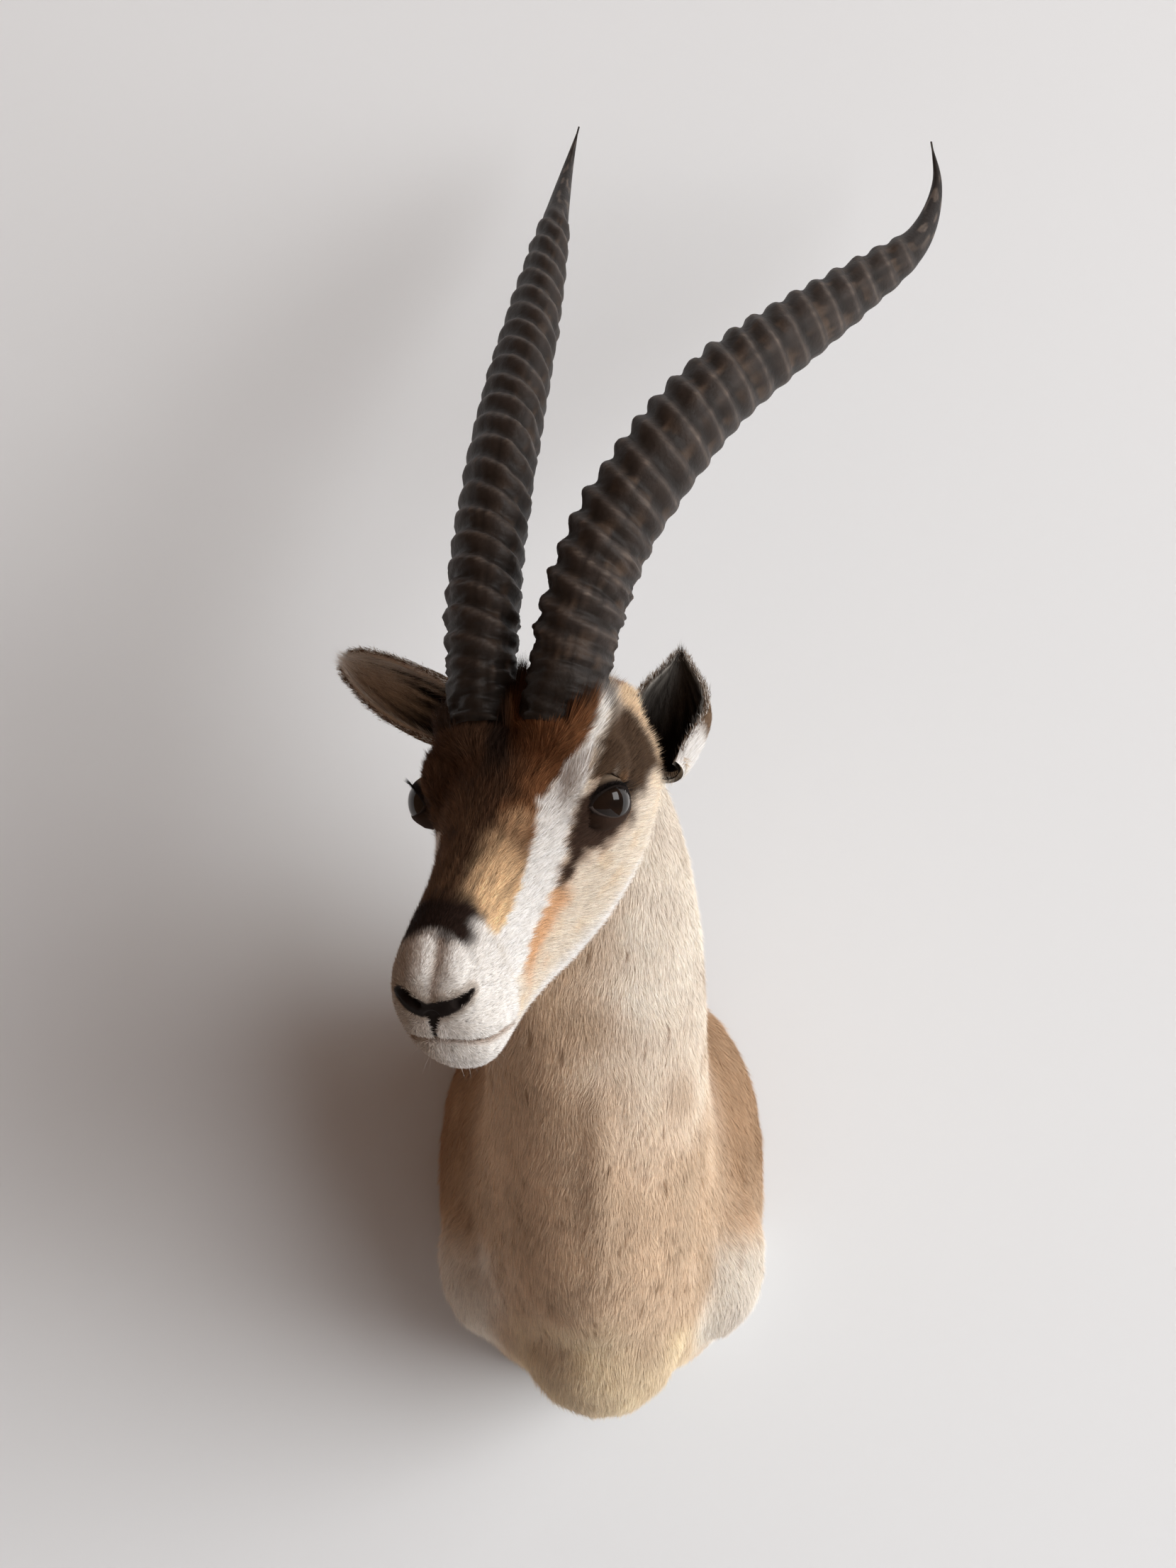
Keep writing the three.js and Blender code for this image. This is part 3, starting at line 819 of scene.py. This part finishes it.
def make_skin(material):
    """The skin's points, normals, triangles and where its points were before the face was formed."""
    net = bare_net(even_mesh())
    smooth_net(net, SMOOTH_ROUNDS)
    refine_net(net)
    refine_net(net)
    smooth_net(net, FINE_SMOOTH_ROUNDS, fine_zone)
    net.normal_update()
    rest = net_points(net)
    lay_lines(rest)
    place_net(net, sculpt(rest, np.array([vertex.normal for vertex in net.verts])))
    points, normals, triangles = net_arrays(net)
    net.free()
    # The skin under the coat is painted darker than the hair, as painted shade beneath it, and black where it
    # is bare.
    colours = blend(coat_colours(points, rest) * 0.75, BLACK_SKIN, bare_share(points, rest))
    settle(mesh_piece("skin", points, triangles, material, colours), "hide", "hide")
    return points, normals, triangles, rest


# Hair
def scatter(triangles, density, points, *others):
    """Random places on triangles, with the other values of the points there; density is hairs for each
    square millimetre at each point."""
    corners = points[triangles]
    spans = np.cross(corners[:, 1] - corners[:, 0], corners[:, 2] - corners[:, 0])
    chance = np.linalg.norm(spans, axis=1) / 2 * density[triangles].mean(axis=1)
    total = np.cumsum(chance)
    picks = np.searchsorted(total, random.uniform(0, total[-1], int(total[-1])))
    picks = np.minimum(picks, len(triangles) - 1)
    first = np.sqrt(random.uniform(size=len(picks)))
    second = random.uniform(size=len(picks))
    shares = np.column_stack([1 - first, first * (1 - second), first * second])[:, :, None]
    return [(values[triangles[picks]] * shares).sum(axis=1) for values in (points, *others)]


def blades(roots, normals, flow, lengths, lifts, colours):
    """One thin triangle for each hair, darker at its root as painted shade deep in the coat: points, faces
    and colours.
    """
    directions = flow * np.cos(lifts)[:, None] + normals * np.sin(lifts)[:, None]
    roll = random.normal(0, 0.35, len(roots))[:, None]
    across = unit(np.cross(directions, normals)) * np.cos(roll) + normals * np.sin(roll)
    half = across * (HAIR_WIDTH / 2)
    points = np.stack([roots - half, roots + half, roots + directions * lengths[:, None]], axis=1)
    points[:, :, 1] = np.minimum(points[:, :, 1], WALL_GAP)
    # Painted shade: each hair is darker at its root and lighter at its tip, for the shade deep in the coat.
    tints = np.stack([colours * 0.88, colours * 0.88, colours * 1.08], axis=1)
    faces = np.arange(len(roots) * 3).reshape(-1, 3)
    return points.reshape(-1, 3), faces, tints.reshape(-1, 3)


def strips(roots, directions, bends, lengths, width, colours):
    """Longer hairs as tapering bent strips: points, faces and colours."""
    segments = 4
    across = unit(np.cross(directions, bends + np.array([1e-3, 2e-3, 1e-3])))
    rows = []
    for share in np.linspace(0, 1, segments + 1):
        middle = roots + lengths[:, None] * (directions * share + bends * share * share)
        half = across * (width * (1 - 0.9 * share) / 2)
        rows.append(np.stack([middle - half, middle + half], axis=1))
    points = np.stack(rows, axis=1).reshape(-1, 3)
    pattern = np.array([[2 * row, 2 * row + 1, 2 * row + 3, 2 * row + 2] for row in range(segments)])
    starts = np.arange(len(roots)) * 2 * (segments + 1)
    faces = (starts[:, None, None] + pattern).reshape(-1, 4)
    return points, faces, np.repeat(colours, 2 * (segments + 1), axis=0)


def fleck_shares(roots, flow, skin_points):
    """1 on the small brown dashes of the neck."""
    _, y, z = skin_points.T
    neck = np.flatnonzero((z < 150) & (z > -110) & (y < -130) & (head_share(skin_points) < 0.1))
    middles = skin_points[random.choice(neck, FLECK_COUNT, replace=False)]
    shares = np.zeros(len(roots))
    for middle in middles:
        offset = roots - middle
        down = (offset * flow).sum(axis=1)
        beside = np.linalg.norm(offset - down[:, None] * flow, axis=1)
        long = random.uniform(3, 8)
        wide = random.uniform(0.8, 1.8)
        shares = np.maximum(shares, fall(np.hypot(down / long, beside / wide), 0.6, 1.2))
    return shares


def dot_shares(roots, skin_points):
    """1 on the small dark roots of the whiskers."""
    along, side, height = to_head(skin_points).T
    lips = np.flatnonzero((along > 128) & (height < -28) & (height > -84) & (side > -22))
    middles = skin_points[random.choice(lips, DOT_COUNT, replace=False)]
    shares = np.zeros(len(roots))
    near = np.flatnonzero(to_head(roots)[:, 0] > 120)
    for middle in middles:
        gap = np.linalg.norm(roots[near] - middle, axis=1)
        shares[near] = np.maximum(shares[near], fall(gap, 0.3, 0.8))
    return shares


def coat_density(points, normals, rest):
    """Hairs for each square millimetre: more on the head, fewer where the room doesn't see them."""
    seen = 0.45 + 0.55 * step(-normals[:, 1] + 0.4 * normals[:, 0] - 0.2 * np.abs(normals[:, 2]), -0.4, 0.3)
    off_wall = step(-points[:, 1], 1.0, 3.0)
    density = (NECK_DENSITY + HEAD_EXTRA_DENSITY * head_share(points)) * seen * off_wall
    density = density * (1 - bare_share(points, rest))
    inside = (normals[:, 1] > 0.9) & (points[:, 1] > -24)
    return np.where(inside | (horn_measure(points)[0] < 1.06), 0, density)


def hair_colours(roots, first, flow, skin_points):
    """The coat's colours with its flecks, whisker roots and dark cuffs, each hair a little different."""
    colours = coat_colours(roots, first)
    colours = blend(colours, FLECK, 0.6 * fleck_shares(roots, flow, skin_points))
    colours = blend(colours, BLACK_SKIN, 0.65 * dot_shares(roots, skin_points))
    ragged = horn_measure(roots)[0] + 0.1 * waves(roots, 6, 15)
    colours = blend(colours, CENTRE_DARK, 0.8 * fall(ragged, 1.08, 1.3))
    spread = 0.1 + 0.14 * head_share(roots)
    return colours * (1 + spread * random.normal(0, 1, len(roots))).clip(0.5, 1.5)[:, None]


def make_coat(skin, material):
    points, normals, triangles, rest = skin
    density = coat_density(points, normals, rest)
    roots, out, first = scatter(triangles, density, points, normals, rest)
    out = unit(out)
    flow = coat_flow(roots, out)
    share = head_share(roots)
    colours = hair_colours(roots, first, flow, points)
    ruffle = step(waves(roots, 16, 9), 0.5, 1.3) * (1 - share)
    measure, axes = horn_measure(roots)
    tuft = fall(measure, 1.15, 1.5)
    flow = unit(flow + 1.6 * tuft[:, None] * axes + random.normal(0, 0.13, flow.shape))
    lengths = coat_lengths(roots) * random.uniform(0.7, 1.25, len(roots))
    lifts = np.radians(12 + 6 * share) + 0.2 * ruffle + random.normal(0, 0.09, len(roots))
    lifts = lifts.clip(0.04, 0.9)
    pieces = math.ceil(len(roots) / FUR_PIECE)
    for number, part in enumerate(np.array_split(np.argsort(roots[:, 2]), pieces), 1):
        hairs = blades(roots[part], out[part], flow[part], lengths[part], lifts[part], colours[part])
        settle(mesh_piece(f"fur_{number}", hairs[0], hairs[1], material, hairs[2]), "hide")


# Ears
def ear_surfaces(ear):
    """Outside and inside points of the ear's cup, as grids from root to tip."""
    root, length, axis, across, opens = ear_frame(ear)
    place = np.linspace(0, 1, EAR_ROWS)[:, None]
    share = np.linspace(-1, 1, EAR_COLUMNS)[None, :]
    swell = 0.5 + 0.5 * np.sin(np.pi / 2 * np.minimum(place / EAR_WIDEST, 1))
    taper = np.cos(np.pi / 2 * np.maximum(place - EAR_WIDEST, 0) / EAR_CLOSES) ** ear["taper"]
    outer = ear["radius"] * swell * taper * (1 + 0.03 * np.sin(9 * place + 5 * share))
    angle = np.radians(EAR_WRAP_ROOT - (EAR_WRAP_ROOT - EAR_WRAP_TIP) * place) * share
    middle = root + place[:, :, None] * length * axis
    surfaces = []
    for size in (outer, np.maximum(outer - EAR_THICKNESS, outer * 0.6)):
        surfaces.append(middle + (size * np.sin(angle))[:, :, None] * across
                        - (size * np.cos(angle))[:, :, None] * opens)
    return surfaces


def grid_normals(grid):
    return unit(np.cross(np.gradient(grid, axis=0), np.gradient(grid, axis=1)))


def grid_places(rows, columns):
    """How far each point of a grid is along it, from 0 to 1, and across it, from -1 to 1."""
    return np.meshgrid(np.linspace(0, 1, rows), np.linspace(-1, 1, columns), indexing="ij")


def grid_scatter(grid, normals, density):
    """Random places and normals on a grid, and how far along and across it they are."""
    rows, columns = grid.shape[:2]
    quads = grid_faces(rows, columns, False)
    triangles = np.concatenate([quads[:, [0, 1, 2]], quads[:, [0, 2, 3]]])
    spots = np.column_stack([values.ravel() for values in grid_places(rows, columns)])
    points = grid.reshape(-1, 3)
    roots, out, spots = scatter(triangles, density.ravel(), points, normals.reshape(-1, 3), spots)
    return roots, unit(out), spots[:, 0], spots[:, 1]


def ear_inside_colours(place, share, paleness):
    """Black deep in the cup, partly the dark skin and partly painted shade, grey-white towards the tip and
    the edges.
    """
    streaks = waves(np.column_stack([2 * place, 9 * share, 3 * share]), 1.0, 18)
    pale = paleness * step(place + 0.2 * share ** 2 + 0.12 * streaks, 0.4, 0.85)
    pale = pale * (0.8 + 0.3 * streaks) + 0.2 * step(share ** 2, 0.75, 1.0)
    return blend(np.tile(EAR_DARK, (len(place), 1)), EAR_HAIR, np.clip(pale, 0, 1))


def ear_outside_colours(place):
    """White fur at the root, brown further out."""
    return blend(np.tile(EAR_TAN, (len(place), 1)), WHITE, fall(place, 0.16, 0.34))


def outer_hair(outside, centre, axis):
    out = grid_normals(outside)
    out = out * np.sign((out * (outside - centre)).sum(axis=2, keepdims=True))
    roots, normals, place, _ = grid_scatter(outside, out, np.full(outside.shape[:2], EAR_OUTSIDE_DENSITY))
    flow = unit(axis + random.normal(0, 0.12, roots.shape))
    flow = unit(flow - (flow * normals).sum(axis=1)[:, None] * normals)
    shade = random.normal(1, 0.18, len(roots)).clip(0.5, 1.5)[:, None]
    lengths = random.uniform(2.5, 5, len(roots)) + 5 * fall(place, 0.16, 0.34)
    lifts = random.uniform(0.05, 0.25, len(roots))
    return blades(roots, normals, flow, lengths, lifts, ear_outside_colours(place) * shade)


def inner_hair(inside, centre, axis, opens, paleness):
    away = -grid_normals(inside)
    away = away * np.sign((away * (centre - inside)).sum(axis=2, keepdims=True))
    density = EAR_ROOT_DENSITY + EAR_TIP_EXTRA_DENSITY * grid_places(EAR_ROWS, EAR_COLUMNS)[0]
    roots, normals, place, share = grid_scatter(inside, away, density)
    flow = unit(axis + 0.2 * opens + random.normal(0, 0.16, roots.shape))
    shade = random.normal(0.95, 0.22, len(roots)).clip(0.3, 1.4)[:, None]
    lengths = random.uniform(5, 11, len(roots))
    lifts = random.uniform(0.05, 0.3, len(roots))
    return blades(roots, normals, flow, lengths, lifts, ear_inside_colours(place, share, paleness) * shade)


def rim_hair(outside, axis, opens):
    rims = np.concatenate([outside[3:, 0], outside[3:, -1], outside[-3]])
    rims = np.repeat(rims, RIM_HAIRS, axis=0)
    rims = rims + random.normal(0, 0.8, rims.shape)
    flow = unit(axis * 0.8 + opens * 0.5 + random.normal(0, 0.35, rims.shape))
    shade = random.normal(0.9, 0.3, len(rims)).clip(0.3, 1.4)[:, None]
    tint = np.where(random.uniform(size=(len(rims), 1)) < 0.45, EAR_HAIR, EAR_TAN)
    lengths = random.uniform(1.5, 4, len(rims))
    lifts = random.uniform(0, 0.3, len(rims))
    return blades(rims, np.tile(opens, (len(rims), 1)), flow, lengths, lifts, tint * shade)


def make_ear(name, ear, material):
    root, length, axis, _, opens = ear_frame(ear)
    paleness = ear["paleness"]
    outside, inside = ear_surfaces(ear)
    ring = np.concatenate([outside, inside[:, ::-1]], axis=1)
    faces = grid_faces(EAR_ROWS, 2 * EAR_COLUMNS, True)
    place, share = grid_places(EAR_ROWS, EAR_COLUMNS)
    inner = ear_inside_colours(place.ravel(), share.ravel(), paleness).reshape(inside.shape)
    # The cup's outside skin is painted darker than its hair, as painted shade beneath it.
    outer = ear_outside_colours(place.ravel()).reshape(outside.shape) * 0.8
    colours = np.concatenate([outer, inner[:, ::-1]], axis=1)
    settle(mesh_piece(name, ring.reshape(-1, 3), faces, material, colours.reshape(-1, 3)), "hide")

    centre = root + np.linspace(0, 1, EAR_ROWS)[:, None, None] * length * axis
    hairs = [outer_hair(outside, centre, axis), inner_hair(inside, centre, axis, opens, paleness),
             rim_hair(outside, axis, opens)]
    starts = np.cumsum([0] + [len(part[0]) for part in hairs[:-1]])
    points = np.concatenate([part[0] for part in hairs])
    faces = np.concatenate([part[1] + start for part, start in zip(hairs, starts)])
    tints = np.concatenate([part[2] for part in hairs])
    settle(mesh_piece(name + "_fur", points, faces, material, tints), "hide")


# Horns
def smooth_path(controls, shares):
    """Points and directions on a smooth curve through the controls, at shares of its length."""
    controls = np.array(controls, float)
    knots = np.concatenate([[0], np.cumsum(np.linalg.norm(np.diff(controls, axis=0), axis=1) ** 0.5)])
    slopes = np.gradient(controls, knots, axis=0)

    def at(value):
        leg = np.clip(np.searchsorted(knots, value, "right") - 1, 0, len(knots) - 2)
        span = (knots[leg + 1] - knots[leg])[:, None]
        share = ((value - knots[leg]) / span[:, 0])[:, None]
        start = controls[leg] * (1 + 2 * share) + slopes[leg] * span * share
        end = controls[leg + 1] * (3 - 2 * share) - slopes[leg + 1] * span * (1 - share)
        return start * (1 - share) ** 2 + end * share ** 2

    fine = np.linspace(0, knots[-1], 4000)
    lengths = np.concatenate([[0], np.cumsum(np.linalg.norm(np.diff(at(fine), axis=0), axis=1))])
    points = at(np.interp(shares * lengths[-1], lengths, fine))
    return points, unit(np.gradient(points, axis=0))


def ridge_profile(place, angle):
    """Height of the ridges from 0 to 1, and how near a point is to a crest."""
    climb = np.clip((place - RIDGE_FROM) / (RIDGE_TO - RIDGE_FROM), 0, 1) ** (1 / RIDGE_CROWDING)
    turns = climb * RIDGE_COUNT + RIDGE_SLANT * np.sin(angle)
    within_ridge = turns - np.floor(turns)
    rising = np.sin(np.pi / 2 * np.clip(within_ridge / 0.5, 0, 1)) ** 1.4
    falling = np.cos(np.pi / 2 * np.clip((within_ridge - 0.5) / 0.34, 0, 1)) ** 0.8
    fade = (0.35 + 0.65 * step(place, 0.05, 0.13)) * fall(place, RIDGE_TO - 0.05, RIDGE_TO)
    crest = np.exp(-((within_ridge - 0.54) / 0.07) ** 2)
    return rising * falling * fade, crest * fade


def horn_axes(along, mirror):
    """The horn section's side and front at each direction along the horn."""
    left = HEAD_AXES[1]
    side = unit(left - (along @ left)[:, None] * along)
    front = np.cross(side, along)
    turn = -math.radians(HORN_TURN) * mirror
    return (side * math.cos(turn) + np.cross(along, side) * math.sin(turn),
            front * math.cos(turn) + np.cross(along, front) * math.sin(turn))


def horn_noise(place, angle, mirror):
    """Coarse lumps, lengthwise fibres and crosswise crinkles of a horn."""
    rolled = np.broadcast_arrays(20 * np.cos(angle), 20 * np.sin(angle), 500 * place)
    rolled = np.stack(rolled, axis=-1).reshape(-1, 3)
    coarse = waves(rolled, 7, 21 + mirror)
    fibre = waves(rolled * np.array([1, 1, 0.08]), 1.3, 23 + mirror)
    crinkle = waves(rolled * np.array([0.25, 0.25, 1]), 1.8, 25 + mirror)
    return [values.reshape(HORN_STATIONS, HORN_SIDES) for values in (coarse, fibre, crinkle)]


def horn_colours(place, angle, coarse, fibre):
    """Black, with painted shade in the grooves, brown patches on the side towards the animal's left, painted
    highlights on the crests, a worn tip and a dark root.
    """
    profile, crest = ridge_profile(place, angle)
    collar = horn_collar(place)
    tip = horn_tip(place)
    # This side faces the animal's left on both horns.
    outer = step(np.sin(angle), -0.2, 0.7)
    brown = step(coarse + 0.5 * fibre, 0.1, 0.9) * (1 - profile) * outer * (1 - tip) * (1 - collar)
    layers = [
        # Painted shade: the grooves between the ridges are painted near black.
        (HORN_GROOVE, (1 - profile) ** 2 * 0.8 * (1 - tip)),
        (HORN_BROWN, 0.5 * brown),
        # Painted highlight: a pale line along each ridge's crest.
        (HORN_HIGHLIGHT_AND_WEAR, (0.42 * crest * (0.7 + 0.3 * fibre)).clip(0, 1)),
        (HORN_TIP, tip * 0.85),
        (HORN_HIGHLIGHT_AND_WEAR, 0.5 * (tip * step(coarse, 0.3, 0.9))),
        (HORN_GROOVE, 0.8 * collar),
    ]
    colours = np.tile(HORN_BASE, (profile.size, 1))
    for colour, share in layers:
        colours = blend(colours, colour, np.broadcast_to(share, profile.shape).ravel())
    return colours * (1 + 0.22 * fibre).ravel()[:, None]


def horn_collar(place):
    """1 at the root that sits in the hair."""
    return fall(place, 0.03, 0.07)


def horn_tip(place):
    """1 on the smooth tip past the ridges."""
    return step(place, RIDGE_TO - 0.04, RIDGE_TO + 0.02)


def make_horn(name, controls, mirror, material):
    place = np.linspace(0, 1, HORN_STATIONS)
    middle, along = smooth_path(controls, place)
    side, front = horn_axes(along, mirror)
    angle = np.linspace(0, 2 * math.pi, HORN_SIDES, endpoint=False)[None, :]
    place = place[:, None]
    profile, _ = ridge_profile(place, angle)
    coarse, fibre, crinkle = horn_noise(place, angle, mirror)
    base = fall(place, 0.1, 0.3)
    swell = RIDGE_HEIGHT * (1 - 0.55 * place) * profile * (0.68 + 0.32 * np.cos(angle)) * (1 + 0.18 * coarse)
    rough = 0.22 * fibre + 0.8 * crinkle * base + 1.2 * coarse * horn_collar(place)
    swell += rough * (1 - horn_tip(place))
    depth = HORN_DEPTH * np.maximum(1 - place ** HORN_TAPER, HORN_POINT)
    ring = (middle[:, None, :] + ((depth + swell) * np.cos(angle))[:, :, None] * front[:, None, :]
            + ((depth * HORN_WIDTH + swell) * np.sin(angle))[:, :, None] * side[:, None, :])
    faces = grid_faces(HORN_STATIONS, HORN_SIDES, True)
    colours = horn_colours(place, angle, coarse, fibre)
    settle(mesh_piece(name + "_ringed", ring.reshape(-1, 3), faces, material, colours), "horn", name)


# Eyes
def make_eye(name, mirror, material):
    """A glass ball with a raised cornea, dark brown round a level pupil."""
    tilt = np.linspace(0, math.pi, EYE_RINGS)[:, None]
    turn = np.linspace(0, 2 * math.pi, EYE_SIDES, endpoint=False)[None, :]
    radius = EYE_RADIUS + CORNEA_RISE * fall(tilt, 0.35, 0.95)
    ring = radius * np.sin(tilt)
    local = np.broadcast_arrays(ring * np.cos(turn), ring * np.sin(turn), radius * np.cos(tilt))
    local = np.stack(local, axis=-1).reshape(-1, 3)
    pupil = np.hypot(local[:, 0] / PUPIL_HALF_LENGTH, local[:, 1] / PUPIL_HALF_HEIGHT)
    colours = blend(np.tile(PUPIL, (len(local), 1)), IRIS, within(pupil, 1.0, 2.1, 0.4) * 0.8)
    faces = grid_faces(EYE_RINGS, EYE_SIDES, True)
    if mirror < 0:
        faces = faces[:, ::-1]
    points = from_head(from_eye(local, mirror))
    settle(mesh_piece(name + "_glass", points, faces, material, colours), "eye", name)


def lid_points(share, measure, reach):
    """Points on the lids at turns round the opening, a lid measure and a distance from the ball's middle."""
    turn = 2 * math.pi * share
    across = np.sign(np.cos(turn)) * np.abs(np.cos(turn)) ** (2 / LID_POWER) * EYE_HALF_LENGTH * measure
    high = np.where(np.sin(turn) > 0, UPPER_LID, LOWER_LID)
    rise = np.sign(np.sin(turn)) * np.abs(np.sin(turn)) ** (2 / LID_POWER) * high * measure
    out = np.sqrt(np.maximum(EYE_RADIUS ** 2 - across ** 2 - rise ** 2, 6.0))
    return unit(np.column_stack([across, rise, out])) * reach


def make_lids(name, mirror, material):
    """A ring of black skin round the ball, with a painted sheen along its lower edge, and haired further out.
    """
    share = np.linspace(0, 1, LID_COLUMNS, endpoint=False)
    rows = [lid_points(share, measure, EYE_RADIUS + rise) for measure, rise in LID_PROFILE]
    points = from_head(from_eye(np.concatenate(rows), mirror))
    points += (waves(points, 2.0, 31) * 0.12)[:, None]
    faces = grid_faces(len(rows), LID_COLUMNS, True)
    if mirror > 0:
        faces = faces[:, ::-1]
    measures = np.array(LID_PROFILE)[:, :1]
    height = np.sin(2 * math.pi * share)
    wet = (share > 0.5) & (measures > 0.94) & (measures < 1)
    hairy = step(measures - 0.2 * height, 1.1, 1.3).ravel()
    above = np.tile(step(height, 0.2, 0.6), len(rows))
    # Painted highlight: a lighter grey line along the lower lid's inner edge stands in for the sheen of moist
    # skin.
    colours = blend(np.tile(BLACK_SKIN, (len(points), 1)), LID_SHEEN_GREY, wet.ravel())
    colours = blend(colours, TEAR * 0.7, hairy * (1 - above))
    colours = blend(colours, MUZZLE_SHADE * 0.7, hairy * above)
    settle(mesh_piece(name, points, faces, material, colours), "hide")


def make_lashes(name, mirror, material):
    """Lashes along the upper lid, longer towards its back corner."""
    share = random.uniform(0.12, 0.52, LASH_COUNT)
    roots = lid_points(share, np.full(LASH_COUNT, 1.05), EYE_RADIUS + 1.2)
    out = unit(roots)
    back = step(share, 0.15, 0.5)[:, None]
    directions = unit(out * 0.7 + back * np.array([-1.1, -0.1, 0.1]) + random.normal(0, 0.12, out.shape))
    bends = np.tile(np.array([-0.1, 0.12, 0.0]), (LASH_COUNT, 1))
    turned = [mirrored(places @ EYE_AXES, mirror) @ HEAD_AXES for places in (directions, bends)]
    lengths = random.uniform(3, 5, LASH_COUNT) + 4 * back[:, 0]
    colours = np.tile(LASH, (LASH_COUNT, 1))
    lashes = strips(from_head(from_eye(roots, mirror)), turned[0], turned[1], lengths, LASH_WIDTH, colours)
    settle(mesh_piece(name, lashes[0], lashes[1], material, lashes[2]), "hide")


# Whiskers
def make_whiskers(skin, material):
    points, normals, _, rest = skin
    along, _, height = to_head(points).T
    zone = np.flatnonzero((along > 122) & (height < -34) & (height > -92) & (bare_share(points, rest) < 0.05))
    picks = random.choice(zone, WHISKER_COUNT, replace=False)
    directions = unit(normals[picks] * 0.8 - HEAD_AXES[0] * 0.3 + random.normal(0, 0.15, (len(picks), 3)))
    bends = np.tile(np.array([0.0, 0.05, -0.3]), (len(picks), 1))
    shade = random.uniform(0.7, 1.05, len(picks))[:, None]
    lengths = random.uniform(4, 13, len(picks))
    hairs = strips(points[picks], directions, bends, lengths, WHISKER_WIDTH, WHITE * shade)
    settle(mesh_piece("whiskers", hairs[0], hairs[1], material, hairs[2]), "hide")


# Stage, light and camera
def plane(name, corners, material):
    mesh = bpy.data.meshes.new(name)
    mesh.from_pydata(corners, [], [(0, 1, 2, 3)])
    mesh.materials.append(material)
    piece = bpy.data.objects.new(name, mesh)
    scene.collection.objects.link(piece)
    return piece


def wall_material():
    """Pale paint that only shows from the room's side."""
    material, nodes, links, surface = new_material("wall_paint")
    surface.inputs["Base Color"].default_value = WALL_PAINT
    surface.inputs["Roughness"].default_value = 0.9
    side = new_node(nodes, "NewGeometry")
    clear = new_node(nodes, "BsdfTransparent")
    either = new_node(nodes, "MixShader")
    links.new(side.outputs["Backfacing"], either.inputs["Fac"])
    links.new(surface.outputs["BSDF"], either.inputs[1])
    links.new(clear.outputs["BSDF"], either.inputs[2])
    links.new(either.outputs["Shader"], nodes["Material Output"].inputs["Surface"])
    return material


def make_stage():
    paint = wall_material()
    wall = plane("wall", [(-WALL_HALF, WALL_PLACE, FLOOR_LEVEL), (WALL_HALF, WALL_PLACE, FLOOR_LEVEL),
                          (WALL_HALF, WALL_PLACE, WALL_TOP), (-WALL_HALF, WALL_PLACE, WALL_TOP)], paint)
    plane("floor", [(-FLOOR_HALF, FLOOR_FRONT, FLOOR_LEVEL), (FLOOR_HALF, FLOOR_FRONT, FLOOR_LEVEL),
                    (FLOOR_HALF, WALL_PLACE, FLOOR_LEVEL), (-FLOOR_HALF, WALL_PLACE, FLOOR_LEVEL)], paint)
    return wall


def area_light(name, place, size, power, colour):
    light = bpy.data.lights.new(name, "AREA")
    light.shape = "RECTANGLE"
    light.size = size[0]
    light.size_y = size[1]
    light.energy = power
    light.color = colour
    lamp = bpy.data.objects.new(name, light)
    lamp.location = place
    lamp.rotation_euler = (Vector(LAMP_TARGET) - Vector(place)).to_track_quat("-Z", "Y").to_euler()
    scene.collection.objects.link(lamp)
    return lamp


def make_light(wall):
    """A bright room and a window to the right of the mount, and light that grazes only the wall."""
    lamps = {name: area_light(name, **lamp) for name, lamp in LAMPS.items()}
    lamps["bright_room"].visible_glossy = False
    wall_only = bpy.data.collections.new("wall_only")
    wall_only.objects.link(wall)
    lamps["grazing"].light_linking.receiver_collection = wall_only
    world = bpy.data.worlds.new("room")
    world.use_nodes = True
    background = world.node_tree.nodes["Background"]
    background.inputs["Color"].default_value = ROOM_COLOUR
    background.inputs["Strength"].default_value = ROOM_STRENGTH
    scene.world = world
    scene.view_settings.view_transform = "Standard"


def make_camera():
    lens = bpy.data.cameras.new("camera")
    lens.sensor_fit = "HORIZONTAL"
    lens.sensor_width = SENSOR_WIDTH
    lens.lens = SENSOR_WIDTH * PHOTO_FOCAL / PHOTO_WIDTH
    camera = bpy.data.objects.new("camera", lens)
    camera.location = CAMERA_PLACE
    camera.rotation_euler = (math.pi / 2, 0, 0)
    scene.collection.objects.link(camera)
    scene.camera = camera


def main():
    make_camera()
    wall = make_stage()
    make_light(wall)
    fur = fur_material()
    horn = horn_material()
    skin = make_skin(fur)
    make_coat(skin, fur)
    make_ear("ear_left", EAR_LEFT, fur)
    make_ear("ear_right", EAR_RIGHT, fur)
    make_horn("horn_left", HORN_LEFT, 1, horn)
    make_horn("horn_right", HORN_RIGHT, -1, horn)
    glass = eye_material()
    lid = lid_material()
    for name, mirror in (("left", 1), ("right", -1)):
        make_eye("eye_" + name, mirror, glass)
        make_lids("lids_" + name, mirror, lid)
        make_lashes("lids_" + name + "_lashes", mirror, fur)
    make_whiskers(skin, fur)
    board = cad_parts["backboard"]
    board.data.materials.clear()
    board.data.materials.append(wood_material())


main()
